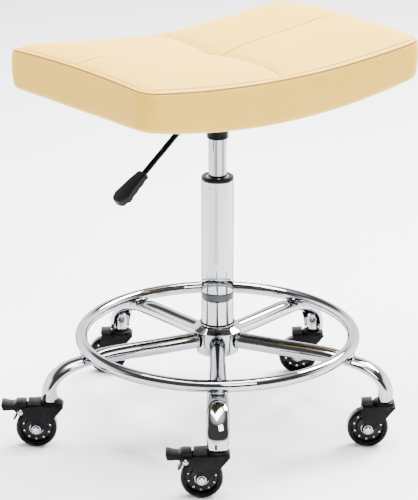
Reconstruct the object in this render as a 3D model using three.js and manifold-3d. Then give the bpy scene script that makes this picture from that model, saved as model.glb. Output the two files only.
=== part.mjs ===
// Adjustable swivel stool: padded saddle seat, gas lift, foot ring and five casters.
// Millimetres, +Z up. The origin is on the floor under the column; one leg points along -Y.

import * as THREE from 'three';
import { mergeVertices } from 'three/addons/utils/BufferGeometryUtils.js';
import Module from 'manifold-3d';

const wasm = await Module();
wasm.setup();

// ---- Driving dimensions ---------------------------------------------------------------

const GAP = 0.3; // clearance between pieces that touch
const LEG_COUNT = 5;
const FRONT_LEG_AZIMUTH = -90; // degrees from +X
const CASTER_CIRCLE_RADIUS = 266.7; // caster swivel axes, from the column axis

const WHEEL_DIAMETER = 62.8;
const WHEEL_RADIUS = WHEEL_DIAMETER / 2;
const WHEEL_TRAIL = 23.5; // axle behind the swivel axis
const RIM_RADIUS = 24;
const TYRE_HALF_WIDTH = 11;
const FORK_GAP_HALF_WIDTH = 12.2;
const FORK_PLATE = 3;
const AXLE_RADIUS = 3.5;

const LEG_TUBE_RADIUS = 12.5;
const LEG_BORE_RADIUS = 11.2;
const LEG_END_HEIGHT = 77;

const RING_CENTRE_RADIUS = 210.9;
const RING_TUBE_RADIUS = 9.5;
const RING_HEIGHT = 150.4;

const COLUMN_RADIUS = 25;
const COLUMN_BOTTOM = 223;
const COLUMN_TOP = 403;
const STEM_RADIUS = 14; // the sliding pressure tube
const STEM_TOP = 499;

const HUB_RADIUS = 32.5;
const HUB_BOTTOM = 124;
const HUB_TOP = 160;
const HUB_TUBE_TOP = 212;
const HUB_TUBE_BORE = 21.5;

const SEAT_LENGTH = 540;
const SEAT_WIDTH = 325;
const SEAT_CORNER = 24; // plan radius of the corners
const SEAT_TURN = 40; // degrees from +X to the long side of the seat
const SEAT_UNDERSIDE = 526.5; // at mid length
const SEAT_EDGE = 593; // top seam at mid length
const EDGE_RISE = 19.6; // how much higher the top seam is at both ends
const UNDERSIDE_RISE = 29.5;
const END_LEAN = 5.6; // the -u end is this much higher again, and the +u end this much lower
const END_ARCH = 6; // top seam across the ends, middle above corners
const SWELL = 21.4; // pad above its top seam
const SWELL_REACH = 65; // how far inside the seam the pad is at its full height
const MIDDLE_DIP = 11.4; // broad dip across the middle of the pad
const SEAM_DIP = 11.2; // sharper dip where the two sewn lines cross

const PLATE_TOP = 524.9;
const PLATE_THICKNESS = 2.5;
const PLATE_LENGTH = 120;
const PLATE_WIDTH = 150;
const SOCKET_RADIUS = 16.5;
const SOCKET_BOTTOM = 468;

const LEVER_HEIGHT = 509;
const LEVER_RADIUS = 4;
const LEVER_BEND_AT = 54; // from the column axis
const LEVER_DROP = 38; // degrees below horizontal after the bend

// ---- Finishes -------------------------------------------------------------------------

function finish(color, roughness, metalness) {
  return new THREE.MeshStandardMaterial({ color, roughness, metalness });
}

const CHROME = finish(0xd6d8da, 0.08, 1);
const BRUSHED = finish(0xb8babd, 0.3, 1);
const STEEL = finish(0xa9acb0, 0.25, 1);
const BLACK_PAINT = finish(0x17171a, 0.4, 0.3);
const BLACK_NYLON = finish(0x1c1c1f, 0.5, 0);
const SMOKE_PLASTIC = finish(0x8b8f95, 0.35, 0);
const WHEEL_CORE = finish(0x202024, 0.3, 0);
const TYRE = finish(0x26272b, 0.25, 0);
const CREAM_VINYL = finish(0xf0dcba, 0.5, 0);
const FOAM = finish(0xe8e0c8, 0.95, 0);
const PLYWOOD = finish(0xc9a877, 0.75, 0);
const BLACK_CLOTH = finish(0x202020, 0.95, 0);
const GRIP_PLASTIC = finish(0x2a2a2c, 0.55, 0);

// ---- Shape helpers --------------------------------------------------------------------

const DEGREE = Math.PI / 180;

function point(x, y, z) {
  return new THREE.Vector3(x, y, z);
}

function toSolid(geometry) {
  const bare = geometry.clone();
  bare.deleteAttribute('normal');
  bare.deleteAttribute('uv');
  const merged = mergeVertices(bare, 1e-4);
  const corners = merged.index.array;
  const kept = [];
  for (let i = 0; i < corners.length; i += 3) {
    const [a, b, c] = [corners[i], corners[i + 1], corners[i + 2]];
    if (a !== b && b !== c && c !== a) kept.push(a, b, c);
  }
  const vertProperties = new Float32Array(merged.attributes.position.array);
  return new wasm.Manifold(new wasm.Mesh({ numProp: 3, vertProperties, triVerts: new Uint32Array(kept) }));
}

function toGeometry(solid) {
  const { vertProperties, triVerts } = solid.getMesh();
  const geometry = new THREE.BufferGeometry();
  geometry.setAttribute('position', new THREE.BufferAttribute(new Float32Array(vertProperties), 3));
  geometry.setIndex(new THREE.BufferAttribute(new Uint32Array(triVerts), 1));
  geometry.computeVertexNormals();
  return geometry;
}

function placed(geometry, x, y, z) {
  return geometry.translate(x, y, z);
}

// A turned piece about Z. The outline lists [radius, height], up the outside; a ring closes on itself.
function turned(outline, sides = 24) {
  const profile = outline.map(([radius, height]) => new THREE.Vector2(radius, height));
  return toSolid(new THREE.LatheGeometry(profile, sides).rotateX(Math.PI / 2));
}

// A tube with plain ends, standing on Z.
function sleeve(outer, inner, bottom, top, sides = 24) {
  return turned([[inner, bottom], [outer, bottom], [outer, top], [inner, top], [inner, bottom]], sides);
}

function rod(radius, bottom, top, sides = 16) {
  return turned([[0, bottom], [radius, bottom], [radius, top], [0, top]], sides);
}

// A rod laid along Y between two stations.
function crossRod(radius, from, to, x, z, sides = 12) {
  const geometry = new THREE.CylinderGeometry(radius, radius, to - from, sides);
  return toSolid(placed(geometry, x, (from + to) / 2, z));
}

// A plate whose outline is drawn in X and Z, between two stations on Y.
function crossPlate(shape, from, to) {
  const geometry = new THREE.ExtrudeGeometry(shape, { depth: to - from, bevelEnabled: false, curveSegments: 5 });
  return toSolid(placed(geometry.rotateX(Math.PI / 2), 0, to, 0));
}

function block(xRange, yRange, zRange) {
  const size = [xRange, yRange, zRange].map(([low, high]) => high - low);
  const middle = [xRange, yRange, zRange].map(([low, high]) => (low + high) / 2);
  return toSolid(placed(new THREE.BoxGeometry(...size), ...middle));
}

// A closed skin over rings of points with equal counts. The first and last ring are capped with
// strips across, so a ring has to be symmetric about its first point.
function lofted(rings) {
  const count = rings[0].length;
  const positions = rings.flat().flatMap((p) => [p.x, p.y, p.z]);
  const faces = [];
  for (let ring = 0; ring + 1 < rings.length; ring += 1) {
    for (let i = 0; i < count; i += 1) {
      const a = ring * count + i;
      const b = ring * count + ((i + 1) % count);
      faces.push(a, b, b + count, a, b + count, a + count);
    }
  }
  capWithStrips(faces, 0, count, false);
  capWithStrips(faces, (rings.length - 1) * count, count, true);
  const geometry = new THREE.BufferGeometry();
  geometry.setAttribute('position', new THREE.Float32BufferAttribute(positions, 3));
  geometry.setIndex(faces);
  return toSolid(geometry);
}

function capWithStrips(faces, start, count, isLast) {
  for (let i = 0; i < count / 2; i += 1) {
    const near = start + i;
    const far = start + ((count - i) % count);
    const nextNear = start + i + 1;
    const nextFar = start + count - i - 1;
    const strip = [near, nextNear, nextFar, near, nextFar, far];
    faces.push(...(isLast ? strip : strip.reverse()));
  }
}

const stool = new THREE.Group();

function addPiece(parent, name, solid, material) {
  const mesh = new THREE.Mesh(toGeometry(solid), material);
  mesh.name = name;
  parent.add(mesh);
}

// ---- Legs -----------------------------------------------------------------------------

// Stations along a leg: distance out and height of its centre, half its depth, half its width,
// and how far its inner side is dished. It is pressed flat under the foot ring and at its end.
const LEG_STATIONS = [
  { out: HUB_RADIUS + 0.8, up: 144.7, depth: 12.5, width: 12.5, dish: 0 },
  { out: 93, up: 141.4, depth: 12.5, width: 12.5, dish: 0 },
  { out: 149, up: 139.2, depth: 12.4, width: 13, dish: 0 },
  { out: 186, up: 137.2, depth: 11.2, width: 14.2, dish: 0 },
  { out: 211, up: 132.8, depth: 7.7, width: 16.2, dish: 0 },
  { out: 240, up: 124.6, depth: 8.8, width: 16.8, dish: 0.1 },
  { out: 261, up: 110.5, depth: 8.4, width: 17.5, dish: 0.4 },
  { out: 271, up: 94, depth: 7.8, width: 17.2, dish: 0.9 },
  { out: 273.4, up: LEG_END_HEIGHT, depth: 7.4, width: 15.4, dish: 1 },
];

// The half cone nut sits this deep in the dished end.
const DISH_DEPTH = 12.2;

function legSection(station, direction, grow) {
  const sides = 12;
  const outward = point(-direction.z, 0, direction.x);
  const ring = [];
  for (let i = 0; i < sides; i += 1) {
    const angle = (2 * Math.PI * i) / sides;
    const across = (station.width + grow) * Math.cos(angle);
    const lift = Math.sin(angle);
    const round = (station.depth + grow) * lift;
    const dished = -station.depth + DISH_DEPTH * (1 - Math.cos(angle) ** 2);
    const raised = lift < 0 ? THREE.MathUtils.lerp(round, dished, station.dish) : round;
    const middle = point(station.out, 0, station.up);
    ring.push(middle.addScaledVector(outward, raised).add(point(0, across, 0)));
  }
  return ring;
}

function legLoft(stations, path, grow) {
  return lofted(stations.map((station, i) => legSection(station, path.getTangent(i / (LEG_STATIONS.length - 1)), grow)));
}

function makeLeg() {
  const path = new THREE.CatmullRomCurve3(LEG_STATIONS.map(({ out, up }) => point(out, 0, up)));
  const skin = legLoft(LEG_STATIONS, path, 0);
  const boreStations = LEG_STATIONS.slice(0, 5).map((station) => ({ ...station }));
  boreStations[0].out -= GAP * 3;
  const hollow = legLoft(boreStations, path, LEG_BORE_RADIUS - LEG_TUBE_RADIUS);
  return skin.subtract(hollow).subtract(makeNutPocket()).subtract(ringSolid(RING_TUBE_RADIUS + GAP));
}

// The foot ring's tube, or a slightly fatter one for the saddles that are pressed into the legs.
function ringSolid(tubeRadius) {
  const steps = 12 * LEG_COUNT;
  return toSolid(placed(new THREE.TorusGeometry(RING_CENTRE_RADIUS, tubeRadius, 10, steps), 0, 0, RING_HEIGHT));
}

// Room in the dished end for the cone nut and the head of the caster's stem.
function makeNutPocket() {
  const pocket = turned([[0, 70], [10.3, 70], [7.8, 96.5], [7.8, 104.5], [0, 104.5]], 20);
  return toSolid(placed(toGeometry(pocket), CASTER_CIRCLE_RADIUS, 0, 0));
}

// The cone nut that is welded into the end of a leg and takes the caster's stem.
function makeConeNut() {
  return turned([[5.3, 77.6], [9.4, 77.6], [7.4, 97], [5.3, 97], [5.3, 77.6]], 14);
}

function makeCasterStem() {
  const pin = rod(5, 68.5, 97.5, 12);
  const head = rod(7.4, 97.4, 103.4, 6);
  return pin.add(head);
}

// ---- Casters: the swivel axis is at x = 0 and the wheel trails towards -X ---------------

const PEDAL_PIVOT = { x: -47, z: 59.6 };
const FORK_CROWN_TOP = 70;
const FORK_CROWN_BOTTOM = 64.2;
const AXLE_BOSS_RADIUS = 8.6;

function forkPlateOutline(hasBrake) {
  const shape = new THREE.Shape();
  shape.moveTo(18.3, 65);
  shape.lineTo(18.3, FORK_CROWN_TOP - 1);
  shape.lineTo(hasBrake ? -51.6 : -33, FORK_CROWN_TOP - 1);
  if (hasBrake) {
    shape.lineTo(-52.6, 62);
    shape.lineTo(-51.6, 55);
  } else {
    shape.lineTo(-35, 60);
  }
  shape.lineTo(-WHEEL_TRAIL - AXLE_BOSS_RADIUS, 36);
  shape.absarc(-WHEEL_TRAIL, WHEEL_RADIUS, AXLE_BOSS_RADIUS, Math.PI, 1.9 * Math.PI, false);
  shape.lineTo(4.5, 49.7);
  shape.closePath();
  return shape;
}

function makeFork(hasBrake) {
  const inner = FORK_GAP_HALF_WIDTH;
  const outer = inner + FORK_PLATE;
  const outline = forkPlateOutline(hasBrake);
  const crownStart = hasBrake ? -35 : -33;
  let fork = block([crownStart, 18.3], [-outer, outer], [FORK_CROWN_BOTTOM, FORK_CROWN_TOP - 1]);
  fork = fork.add(crossPlate(outline, -outer, -inner)).add(crossPlate(outline, inner, outer));
  fork = fork.add(turned([[0, 64.5], [17.6, 64.5], [17.6, 71.5], [13.6, 75.4], [0, 75.4]], 18));
  fork = fork.subtract(rod(5.5, 68, 80, 12));
  fork = fork.subtract(crossRod(AXLE_RADIUS + GAP, -20, 20, -WHEEL_TRAIL, WHEEL_RADIUS));
  if (!hasBrake) return fork;
  return fork.subtract(crossRod(2.2 + GAP, -20, 20, PEDAL_PIVOT.x, PEDAL_PIVOT.z));
}

function makeAxle() {
  const shank = crossRod(AXLE_RADIUS, -19.6, 19.6, -WHEEL_TRAIL, WHEEL_RADIUS);
  const nearNut = crossRod(6, -19.8, -15.5, -WHEEL_TRAIL, WHEEL_RADIUS, 6);
  const farNut = crossRod(6, 15.5, 19.8, -WHEEL_TRAIL, WHEEL_RADIUS, 6);
  return shank.add(nearNut).add(farNut);
}

// A turned piece about the axle, from an outline of [radius, station along Y].
function aboutAxle(outline, sides) {
  const profile = outline.map(([radius, station]) => new THREE.Vector2(radius, station));
  const halfSide = Math.PI / sides;
  return toSolid(placed(new THREE.LatheGeometry(profile, sides, halfSide), -WHEEL_TRAIL, 0, WHEEL_RADIUS));
}

function makeRim() {
  const bore = AXLE_RADIUS + GAP;
  return aboutAxle([[bore, -11.2], [9, -11.2], [RIM_RADIUS, -9.6], [RIM_RADIUS, 9.6], [9, 11.2], [bore, 11.2],
    [bore, -11.2]], 20);
}

function makeTyre() {
  const bed = RIM_RADIUS + GAP;
  const half = TYRE_HALF_WIDTH;
  const sides = 28;
  const tread = WHEEL_RADIUS / Math.cos(Math.PI / sides); // the lowest facet lies flat on the floor
  return aboutAxle([[bed, -half], [tread - 3, -half + 0.8], [tread, -half + 5],
    [tread, half - 5], [tread - 3, half - 0.8], [bed, half], [bed, -half]], sides);
}

// The foot pedal and its brake shoe, one moulding that rocks on the pedal pin.
function makeBrakePedal() {
  const { x, z } = PEDAL_PIVOT;
  const shape = new THREE.Shape();
  shape.moveTo(x + 9, z + 10.6);
  shape.quadraticCurveTo(x + 8.5, z + 15.1, x + 3, z + 15.1);
  shape.quadraticCurveTo(x - 5, z + 15.1, x - 10, z + 10.6);
  shape.quadraticCurveTo(x - 19, z + 10.4, x - 28, z + 12.6);
  shape.lineTo(x - 30, z + 9);
  shape.lineTo(x - 28.6, z - 1.1);
  shape.quadraticCurveTo(x - 16, z + 3, x - 7.4, z - 3);
  shape.lineTo(x - 11.6, z - 14.2);
  shape.lineTo(x - 9, z - 15.8);
  shape.lineTo(x - 4.5, z - 7.5);
  shape.absarc(x, z, 4.6, -0.75 * Math.PI, 0, false);
  shape.closePath();
  const half = FORK_GAP_HALF_WIDTH - GAP * 2;
  return crossPlate(shape, -half, half).subtract(crossRod(2.2 + GAP, -20, 20, x, z));
}

function makePedalPin() {
  const { x, z } = PEDAL_PIVOT;
  const head = crossRod(4.2, -17.2, -15.5, x, z);
  return crossRod(2.2, -15.6, 15, x, z).add(head);
}

function addCaster(base, name, hasBrake) {
  addPiece(base, `caster_${name}_fork`, makeFork(hasBrake), BLACK_PAINT);
  addPiece(base, `caster_${name}_axle`, makeAxle(), STEEL);
  addPiece(base, `caster_${name}_rim`, makeRim(), WHEEL_CORE);
  addPiece(base, `caster_${name}_tyre`, makeTyre(), TYRE);
  if (!hasBrake) return;
  addPiece(base, `caster_${name}_brake_pedal`, makeBrakePedal(), BLACK_NYLON);
  addPiece(base, `caster_${name}_pedal_pin`, makePedalPin(), STEEL);
}

// Legs in order of azimuth from the front one, with the casters that have a brake.
const LEG_NAMES = ['front', 'right', 'back_right', 'back_left', 'left'];
const BRAKED = ['front', 'left'];

LEG_NAMES.forEach((name, i) => {
  const azimuth = (FRONT_LEG_AZIMUTH + (360 / LEG_COUNT) * i) * DEGREE;
  const spoke = new THREE.Group();
  spoke.rotation.z = azimuth;
  addPiece(spoke, `leg_${name}`, makeLeg(), CHROME);
  stool.add(spoke);
  const corner = new THREE.Group();
  corner.position.set(CASTER_CIRCLE_RADIUS * Math.cos(azimuth), CASTER_CIRCLE_RADIUS * Math.sin(azimuth), 0);
  addPiece(corner, `cone_nut_${name}`, makeConeNut(), BRUSHED);
  addPiece(corner, `caster_${name}_stem`, makeCasterStem(), STEEL);
  addCaster(corner, name, BRAKED.includes(name));
  stool.add(corner);
});

// ---- Foot ring, hub and gas lift ------------------------------------------------------

// The welded core of the base: a thick boss for the legs and a tube for the gas lift.
function makeHub() {
  return turned([[HUB_TUBE_BORE, HUB_BOTTOM], [HUB_RADIUS, HUB_BOTTOM], [HUB_RADIUS, HUB_TOP],
    [COLUMN_RADIUS, HUB_TOP], [COLUMN_RADIUS, HUB_TUBE_TOP], [HUB_TUBE_BORE, HUB_TUBE_TOP],
    [HUB_TUBE_BORE, HUB_BOTTOM]], 24);
}

// The pressed cone that covers the joint between the hub and its tube.
function makeHubCollar() {
  return turned([[COLUMN_RADIUS + GAP, 161], [39, 160.3], [39, 162], [28.6, 170], [27, 171.5],
    [COLUMN_RADIUS + GAP, 171.5], [COLUMN_RADIUS + GAP, 161]], 24);
}

const TAPER_TOP_RADIUS = 18;
const TAPER_BOTTOM_RADIUS = 16.6;
const TAPER_BOTTOM = 134;

// The tapered plastic bush between the hub tube and the gas lift, with its visible flange.
function makeReducerBush() {
  const outer = HUB_TUBE_BORE - GAP;
  const flangeBottom = HUB_TUBE_TOP + GAP;
  const flangeTop = COLUMN_BOTTOM - GAP;
  return turned([[TAPER_BOTTOM_RADIUS + 0.5, 140], [outer, 140], [outer, flangeBottom],
    [COLUMN_RADIUS, flangeBottom], [COLUMN_RADIUS, flangeTop], [TAPER_TOP_RADIUS + GAP, flangeTop],
    [TAPER_BOTTOM_RADIUS + 0.5, 140]], 24);
}

const BUSH_BORE = STEM_RADIUS + GAP;
const GUIDE_BUSH_BOTTOM = 340;
const COLUMN_BORE = 23.4;

// Outer tube of the gas lift: a closed tapered foot with a hole for the piston rod.
function makeOuterColumn() {
  return turned([[5.4, TAPER_BOTTOM], [TAPER_BOTTOM_RADIUS, TAPER_BOTTOM], [TAPER_TOP_RADIUS, 221],
    [TAPER_TOP_RADIUS, COLUMN_BOTTOM], [COLUMN_RADIUS - 1, COLUMN_BOTTOM], [COLUMN_RADIUS, COLUMN_BOTTOM + 1],
    [COLUMN_RADIUS, COLUMN_TOP], [COLUMN_BORE, COLUMN_TOP], [COLUMN_BORE, COLUMN_BOTTOM + 3],
    [TAPER_TOP_RADIUS - 1.8, COLUMN_BOTTOM + 2], [TAPER_BOTTOM_RADIUS - 2, TAPER_BOTTOM + 4],
    [5.4, TAPER_BOTTOM + 4], [5.4, TAPER_BOTTOM]], 24);
}

function makeGuideBush() {
  const outer = COLUMN_BORE - GAP;
  const rimBottom = COLUMN_TOP + GAP;
  return turned([[BUSH_BORE, GUIDE_BUSH_BOTTOM], [outer, GUIDE_BUSH_BOTTOM], [outer, rimBottom],
    [COLUMN_RADIUS - 0.3, rimBottom], [COLUMN_RADIUS - 0.3, 407], [COLUMN_RADIUS - 1.5, 408.3],
    [18.4, 408.3], [17.6, 406.6], [BUSH_BORE, 406.6], [BUSH_BORE, GUIDE_BUSH_BOTTOM]], 24);
}

const ROD_RADIUS = 5;
const ROD_TOP = 350;
const STEM_BOTTOM = 268;

// The sliding tube under the seat, open at its foot for the piston rod.
function makePressureTube() {
  const skin = turned([[0, STEM_BOTTOM], [STEM_RADIUS - 1, STEM_BOTTOM], [STEM_RADIUS, STEM_BOTTOM + 1],
    [STEM_RADIUS, 470], [13.2, STEM_TOP - 1], [12.2, STEM_TOP], [0, STEM_TOP]], 20);
  const bore = rod(ROD_RADIUS + 1, STEM_BOTTOM - 1, 440);
  const valve = rod(4.3, 480, STEM_TOP + 1);
  return skin.subtract(bore).subtract(valve);
}

// Piston rod with the collar that bears on the thrust bearing, and the clip groove end.
function makePistonRod() {
  return rod(ROD_RADIUS, TAPER_BOTTOM - 3, ROD_TOP).add(rod(9, 146, 150));
}

function makeThrustBearing() {
  return sleeve(12, ROD_RADIUS + GAP, TAPER_BOTTOM + 4 + GAP, 146 - GAP);
}

const BUTTON_TOP = LEVER_HEIGHT - LEVER_RADIUS - GAP;

function makeReleaseButton() {
  return rod(4, 484, BUTTON_TOP);
}

// ---- Seat, in its own turned group: u runs along the seat, v across it ------------------

// How far a line along the seat lies above its height at mid length.
function bow(u, rise) {
  const share = u / (SEAT_LENGTH / 2);
  return rise * share ** 2 - END_LEAN * share;
}

function undersideHeight(lift) {
  return (u) => SEAT_UNDERSIDE + lift + bow(u, UNDERSIDE_RISE);
}

// The padded top at a ring this far inside the top seam: it swells up from the seam and dips along
// the two sewn lines that cross in its middle.
function padHeight(inset, drop) {
  const swell = 1 - (1 - Math.min(inset / SWELL_REACH, 1)) ** 2;
  return (u, v) => {
    const arch = END_ARCH * Math.abs(u / (SEAT_LENGTH / 2)) ** 4 * (1 - (v / (SEAT_WIDTH / 2)) ** 2);
    const seam = SEAT_EDGE + bow(u, EDGE_RISE) + arch;
    const dip = MIDDLE_DIP * Math.exp(-Math.abs(u) / 52) + SEAM_DIP * Math.exp(-Math.abs(u) / 66 - Math.abs(v) / 26);
    return seam + swell * (SWELL - dip) - drop;
  };
}

// A rounded rectangle of points that starts at the middle of the +u end, drawn in from the seat's
// edge by inset; heightAt gives the height at each (u, v).
function seatRing(inset, heightAt) {
  const halfLength = SEAT_LENGTH / 2 - inset;
  const halfWidth = SEAT_WIDTH / 2 - inset;
  const radius = Math.max(SEAT_CORNER - inset, 4);
  const corner = [0, 0.25, 0.5, 0.75, 1].map((step) => step * 90 * DEGREE);
  const side = [0.66, 0.33, 0.1, 0, -0.1, -0.33, -0.66];
  const quarter = [];
  corner.forEach((angle) => quarter.push([halfLength - radius + radius * Math.cos(angle),
    halfWidth - radius + radius * Math.sin(angle)]));
  const farCorner = quarter.map(([u, v]) => [-u, v]).reverse();
  const middle = side.map((share) => [share * (halfLength - radius), halfWidth]);
  const upper = [...quarter, ...middle, ...farCorner];
  const lower = upper.map(([u, v]) => [u, -v]).reverse();
  const outline = [[halfLength, 0], ...upper, [-halfLength, 0], ...lower];
  return outline.map(([u, v]) => point(u, v, heightAt(u, v)));
}

function crownRings(inset, drop) {
  return [0, 7, 20, 42, 75, 115, 150].map((away) => seatRing(inset + away, padHeight(inset + away, drop)));
}

const COVER_THICKNESS = 1.2;
const BOARD_INSET = 6;
const BOARD_THICKNESS = 12;

function makeSeatCover() {
  const skin = lofted([seatRing(8, undersideHeight(0)), seatRing(2.4, undersideHeight(2.2)),
    seatRing(0, undersideHeight(8)), ...crownRings(0, 0)]);
  const inner = lofted([seatRing(BOARD_INSET + 3, undersideHeight(-3)), seatRing(BOARD_INSET - 3, undersideHeight(6)),
    ...crownRings(BOARD_INSET - 4, COVER_THICKNESS)]);
  return skin.subtract(inner);
}

function makeSeatFoam() {
  const bottom = seatRing(BOARD_INSET, undersideHeight(BOARD_THICKNESS + 1.5));
  return lofted([bottom, ...crownRings(BOARD_INSET - 2, COVER_THICKNESS + 1)]);
}

function makeSeatBoard() {
  return lofted([0.6, 0.6 + BOARD_THICKNESS].map((lift) => seatRing(BOARD_INSET + 5.5, undersideHeight(lift))));
}

// Black cloth stapled over the underside.
function makeDustCloth() {
  return lofted([-1, 0.2].map((lift) => seatRing(20, undersideHeight(lift))));
}

const SCREW_PLACES = [[1, 1], [-1, 1], [-1, -1], [1, -1]].map(([u, v]) => [u * 46, v * 61]);

// Pressed plate under the seat, with the socket tube for the pressure tube and the lever's slot.
function makeSeatPlate() {
  const bottom = PLATE_TOP - PLATE_THICKNESS;
  const half = [PLATE_LENGTH / 2, PLATE_WIDTH / 2];
  let plate = block([-half[0], half[0]], [-half[1], half[1]], [bottom, PLATE_TOP]);
  plate = plate.add(turned([[0, SOCKET_BOTTOM], [SOCKET_RADIUS - 0.8, SOCKET_BOTTOM], [SOCKET_RADIUS, SOCKET_BOTTOM + 0.8],
    [SOCKET_RADIUS, 488], [24, 494], [24, bottom + 1], [0, bottom + 1]], 28));
  plate = plate.subtract(rod(STEM_RADIUS + GAP, SOCKET_BOTTOM - 1, STEM_TOP + 1, 20));
  plate = plate.subtract(rod(11, STEM_TOP, bottom - 1.5, 20));
  plate = plate.subtract(block([-26, 9], [-LEVER_RADIUS - GAP, LEVER_RADIUS + GAP], [503.5, bottom - 1.2]));
  SCREW_PLACES.forEach(([u, v]) => {
    plate = plate.subtract(placedSolid(rod(3.4, bottom - 1, PLATE_TOP + 1, 12), u, v));
  });
  return plate;
}

function placedSolid(solid, u, v) {
  return toSolid(placed(toGeometry(solid), u, v, 0));
}

// Hexagon head under the plate with a washer face; the shank stops under the dust cloth.
function makeSeatScrew([u, v]) {
  const headTop = PLATE_TOP - PLATE_THICKNESS - GAP;
  const head = rod(5.6, headTop - 4.2, headTop, 6);
  return placedSolid(head.add(rod(3, headTop - 1, PLATE_TOP)), u, v);
}

function along(distance, drop, from) {
  return point(from.x - distance * Math.cos(drop * DEGREE), 0, from.z - distance * Math.sin(drop * DEGREE));
}

const LEVER_BEND = point(-LEVER_BEND_AT, 0, LEVER_HEIGHT);
const GRIP_START = 112; // from the bend, along the sloping rod
const GRIP_LENGTH = 62;
const GRIP_DROP = 35;

// Round rod: straight out under the seat, then bent down to its grip.
function makeLeverRod() {
  const bendReach = 9;
  const bendIn = point(LEVER_BEND.x + bendReach, 0, LEVER_HEIGHT);
  const bendOut = along(bendReach, LEVER_DROP, LEVER_BEND);
  const bend = new THREE.QuadraticBezierCurve3(bendIn, LEVER_BEND, bendOut);
  const end = along(GRIP_START + 24, LEVER_DROP, LEVER_BEND);
  const middles = [point(5, 0, LEVER_HEIGHT), ...bend.getPoints(4), end];
  const drops = [0, 0, 0.25, 0.5, 0.75, 1, 1].map((share) => share * LEVER_DROP);
  return lofted(middles.map((middle, i) => leverSection(middle, drops[i], LEVER_RADIUS, LEVER_RADIUS, 1)));
}

// Paddle grip: narrow where the rod enters, wide and round at its far end.
function makeLeverGrip() {
  const start = along(GRIP_START, LEVER_DROP, LEVER_BEND);
  const stations = [[0, 7.4, 5.6], [2, 8.4, 6.4], [GRIP_LENGTH * 0.45, 11.6, 6.6], [GRIP_LENGTH * 0.8, 14.6, 6.6],
    [GRIP_LENGTH * 0.95, 12.4, 6.2], [GRIP_LENGTH, 7.5, 4.4]];
  const rings = stations.map(([distance, halfWidth, halfDepth]) => (
    leverSection(along(distance, GRIP_DROP, start), GRIP_DROP, halfWidth, halfDepth, 0.55)));
  const bore = LEVER_RADIUS + GAP;
  const socket = lofted([-2, 26].map((distance) => (
    leverSection(along(distance, LEVER_DROP, start), LEVER_DROP, bore, bore, 1))));
  return lofted(rings).subtract(socket);
}

// A ring across the lever where it points down by drop: a circle at squareness 1, and nearer to a
// rounded rectangle below that.
function leverSection(middle, drop, halfWidth, halfDepth, squareness) {
  const upward = point(-Math.sin(drop * DEGREE), 0, Math.cos(drop * DEGREE));
  const sides = 12;
  const ring = [];
  for (let i = 0; i < sides; i += 1) {
    const angle = (-2 * Math.PI * i) / sides;
    const across = Math.sign(Math.cos(angle)) * Math.abs(Math.cos(angle)) ** squareness * halfWidth;
    const raised = Math.sign(Math.sin(angle)) * Math.abs(Math.sin(angle)) ** squareness * halfDepth;
    ring.push(middle.clone().addScaledVector(upward, raised).add(point(0, across, 0)));
  }
  return ring;
}

// ---- Assembly -------------------------------------------------------------------------

addPiece(stool, 'foot_ring', ringSolid(RING_TUBE_RADIUS), CHROME);
addPiece(stool, 'hub', makeHub(), CHROME);
addPiece(stool, 'hub_collar', makeHubCollar(), CHROME);
addPiece(stool, 'reducer_bush', makeReducerBush(), SMOKE_PLASTIC);
addPiece(stool, 'outer_column', makeOuterColumn(), CHROME);
addPiece(stool, 'guide_bush', makeGuideBush(), BLACK_NYLON);
addPiece(stool, 'thrust_bearing', makeThrustBearing(), STEEL);
addPiece(stool, 'piston_rod', makePistonRod(), STEEL);

const seat = new THREE.Group();
seat.rotation.z = SEAT_TURN * DEGREE;
addPiece(seat, 'pressure_tube', makePressureTube(), CHROME);
addPiece(seat, 'release_button', makeReleaseButton(), BRUSHED);
addPiece(seat, 'seat_plate', makeSeatPlate(), BLACK_PAINT);
addPiece(seat, 'lever_rod', makeLeverRod(), BLACK_PAINT);
addPiece(seat, 'lever_grip', makeLeverGrip(), GRIP_PLASTIC);
addPiece(seat, 'seat_board', makeSeatBoard(), PLYWOOD);
addPiece(seat, 'seat_foam', makeSeatFoam(), FOAM);
addPiece(seat, 'seat_cover', makeSeatCover(), CREAM_VINYL);
addPiece(seat, 'dust_cloth', makeDustCloth(), BLACK_CLOTH);
SCREW_PLACES.forEach((place, i) => addPiece(seat, `seat_screw_${i + 1}`, makeSeatScrew(place), STEEL));
stool.add(seat);

export default stool;
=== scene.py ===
"""Adjustable swivel stool: the finished model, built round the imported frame.

Metres, +Z up. The origin is on the floor under the column and one leg points along -Y.
"""

import logging
import math
from dataclasses import dataclass
from enum import Enum
from typing import Callable, Iterable, Optional, Sequence, Union

import bpy
from mathutils import Euler, Matrix, Vector


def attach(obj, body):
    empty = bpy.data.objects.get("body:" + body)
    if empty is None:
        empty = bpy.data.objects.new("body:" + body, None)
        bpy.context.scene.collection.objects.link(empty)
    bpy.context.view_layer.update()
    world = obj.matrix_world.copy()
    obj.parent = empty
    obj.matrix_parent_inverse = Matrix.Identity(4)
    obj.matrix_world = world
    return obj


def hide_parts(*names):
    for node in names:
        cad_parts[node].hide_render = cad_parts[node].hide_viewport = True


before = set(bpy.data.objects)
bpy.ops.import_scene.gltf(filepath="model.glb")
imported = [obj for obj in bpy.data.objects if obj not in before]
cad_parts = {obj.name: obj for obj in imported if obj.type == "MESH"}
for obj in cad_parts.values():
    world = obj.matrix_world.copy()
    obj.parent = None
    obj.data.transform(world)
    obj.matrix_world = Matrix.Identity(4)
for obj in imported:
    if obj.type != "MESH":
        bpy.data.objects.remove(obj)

LOG = logging.getLogger("stool")
MM = 0.001
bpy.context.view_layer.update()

Point = Sequence[float]
Number = Union[int, float]
Term = Union["Signal", Number]


# ---------------------------------------------------------------------------- shading


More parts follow.
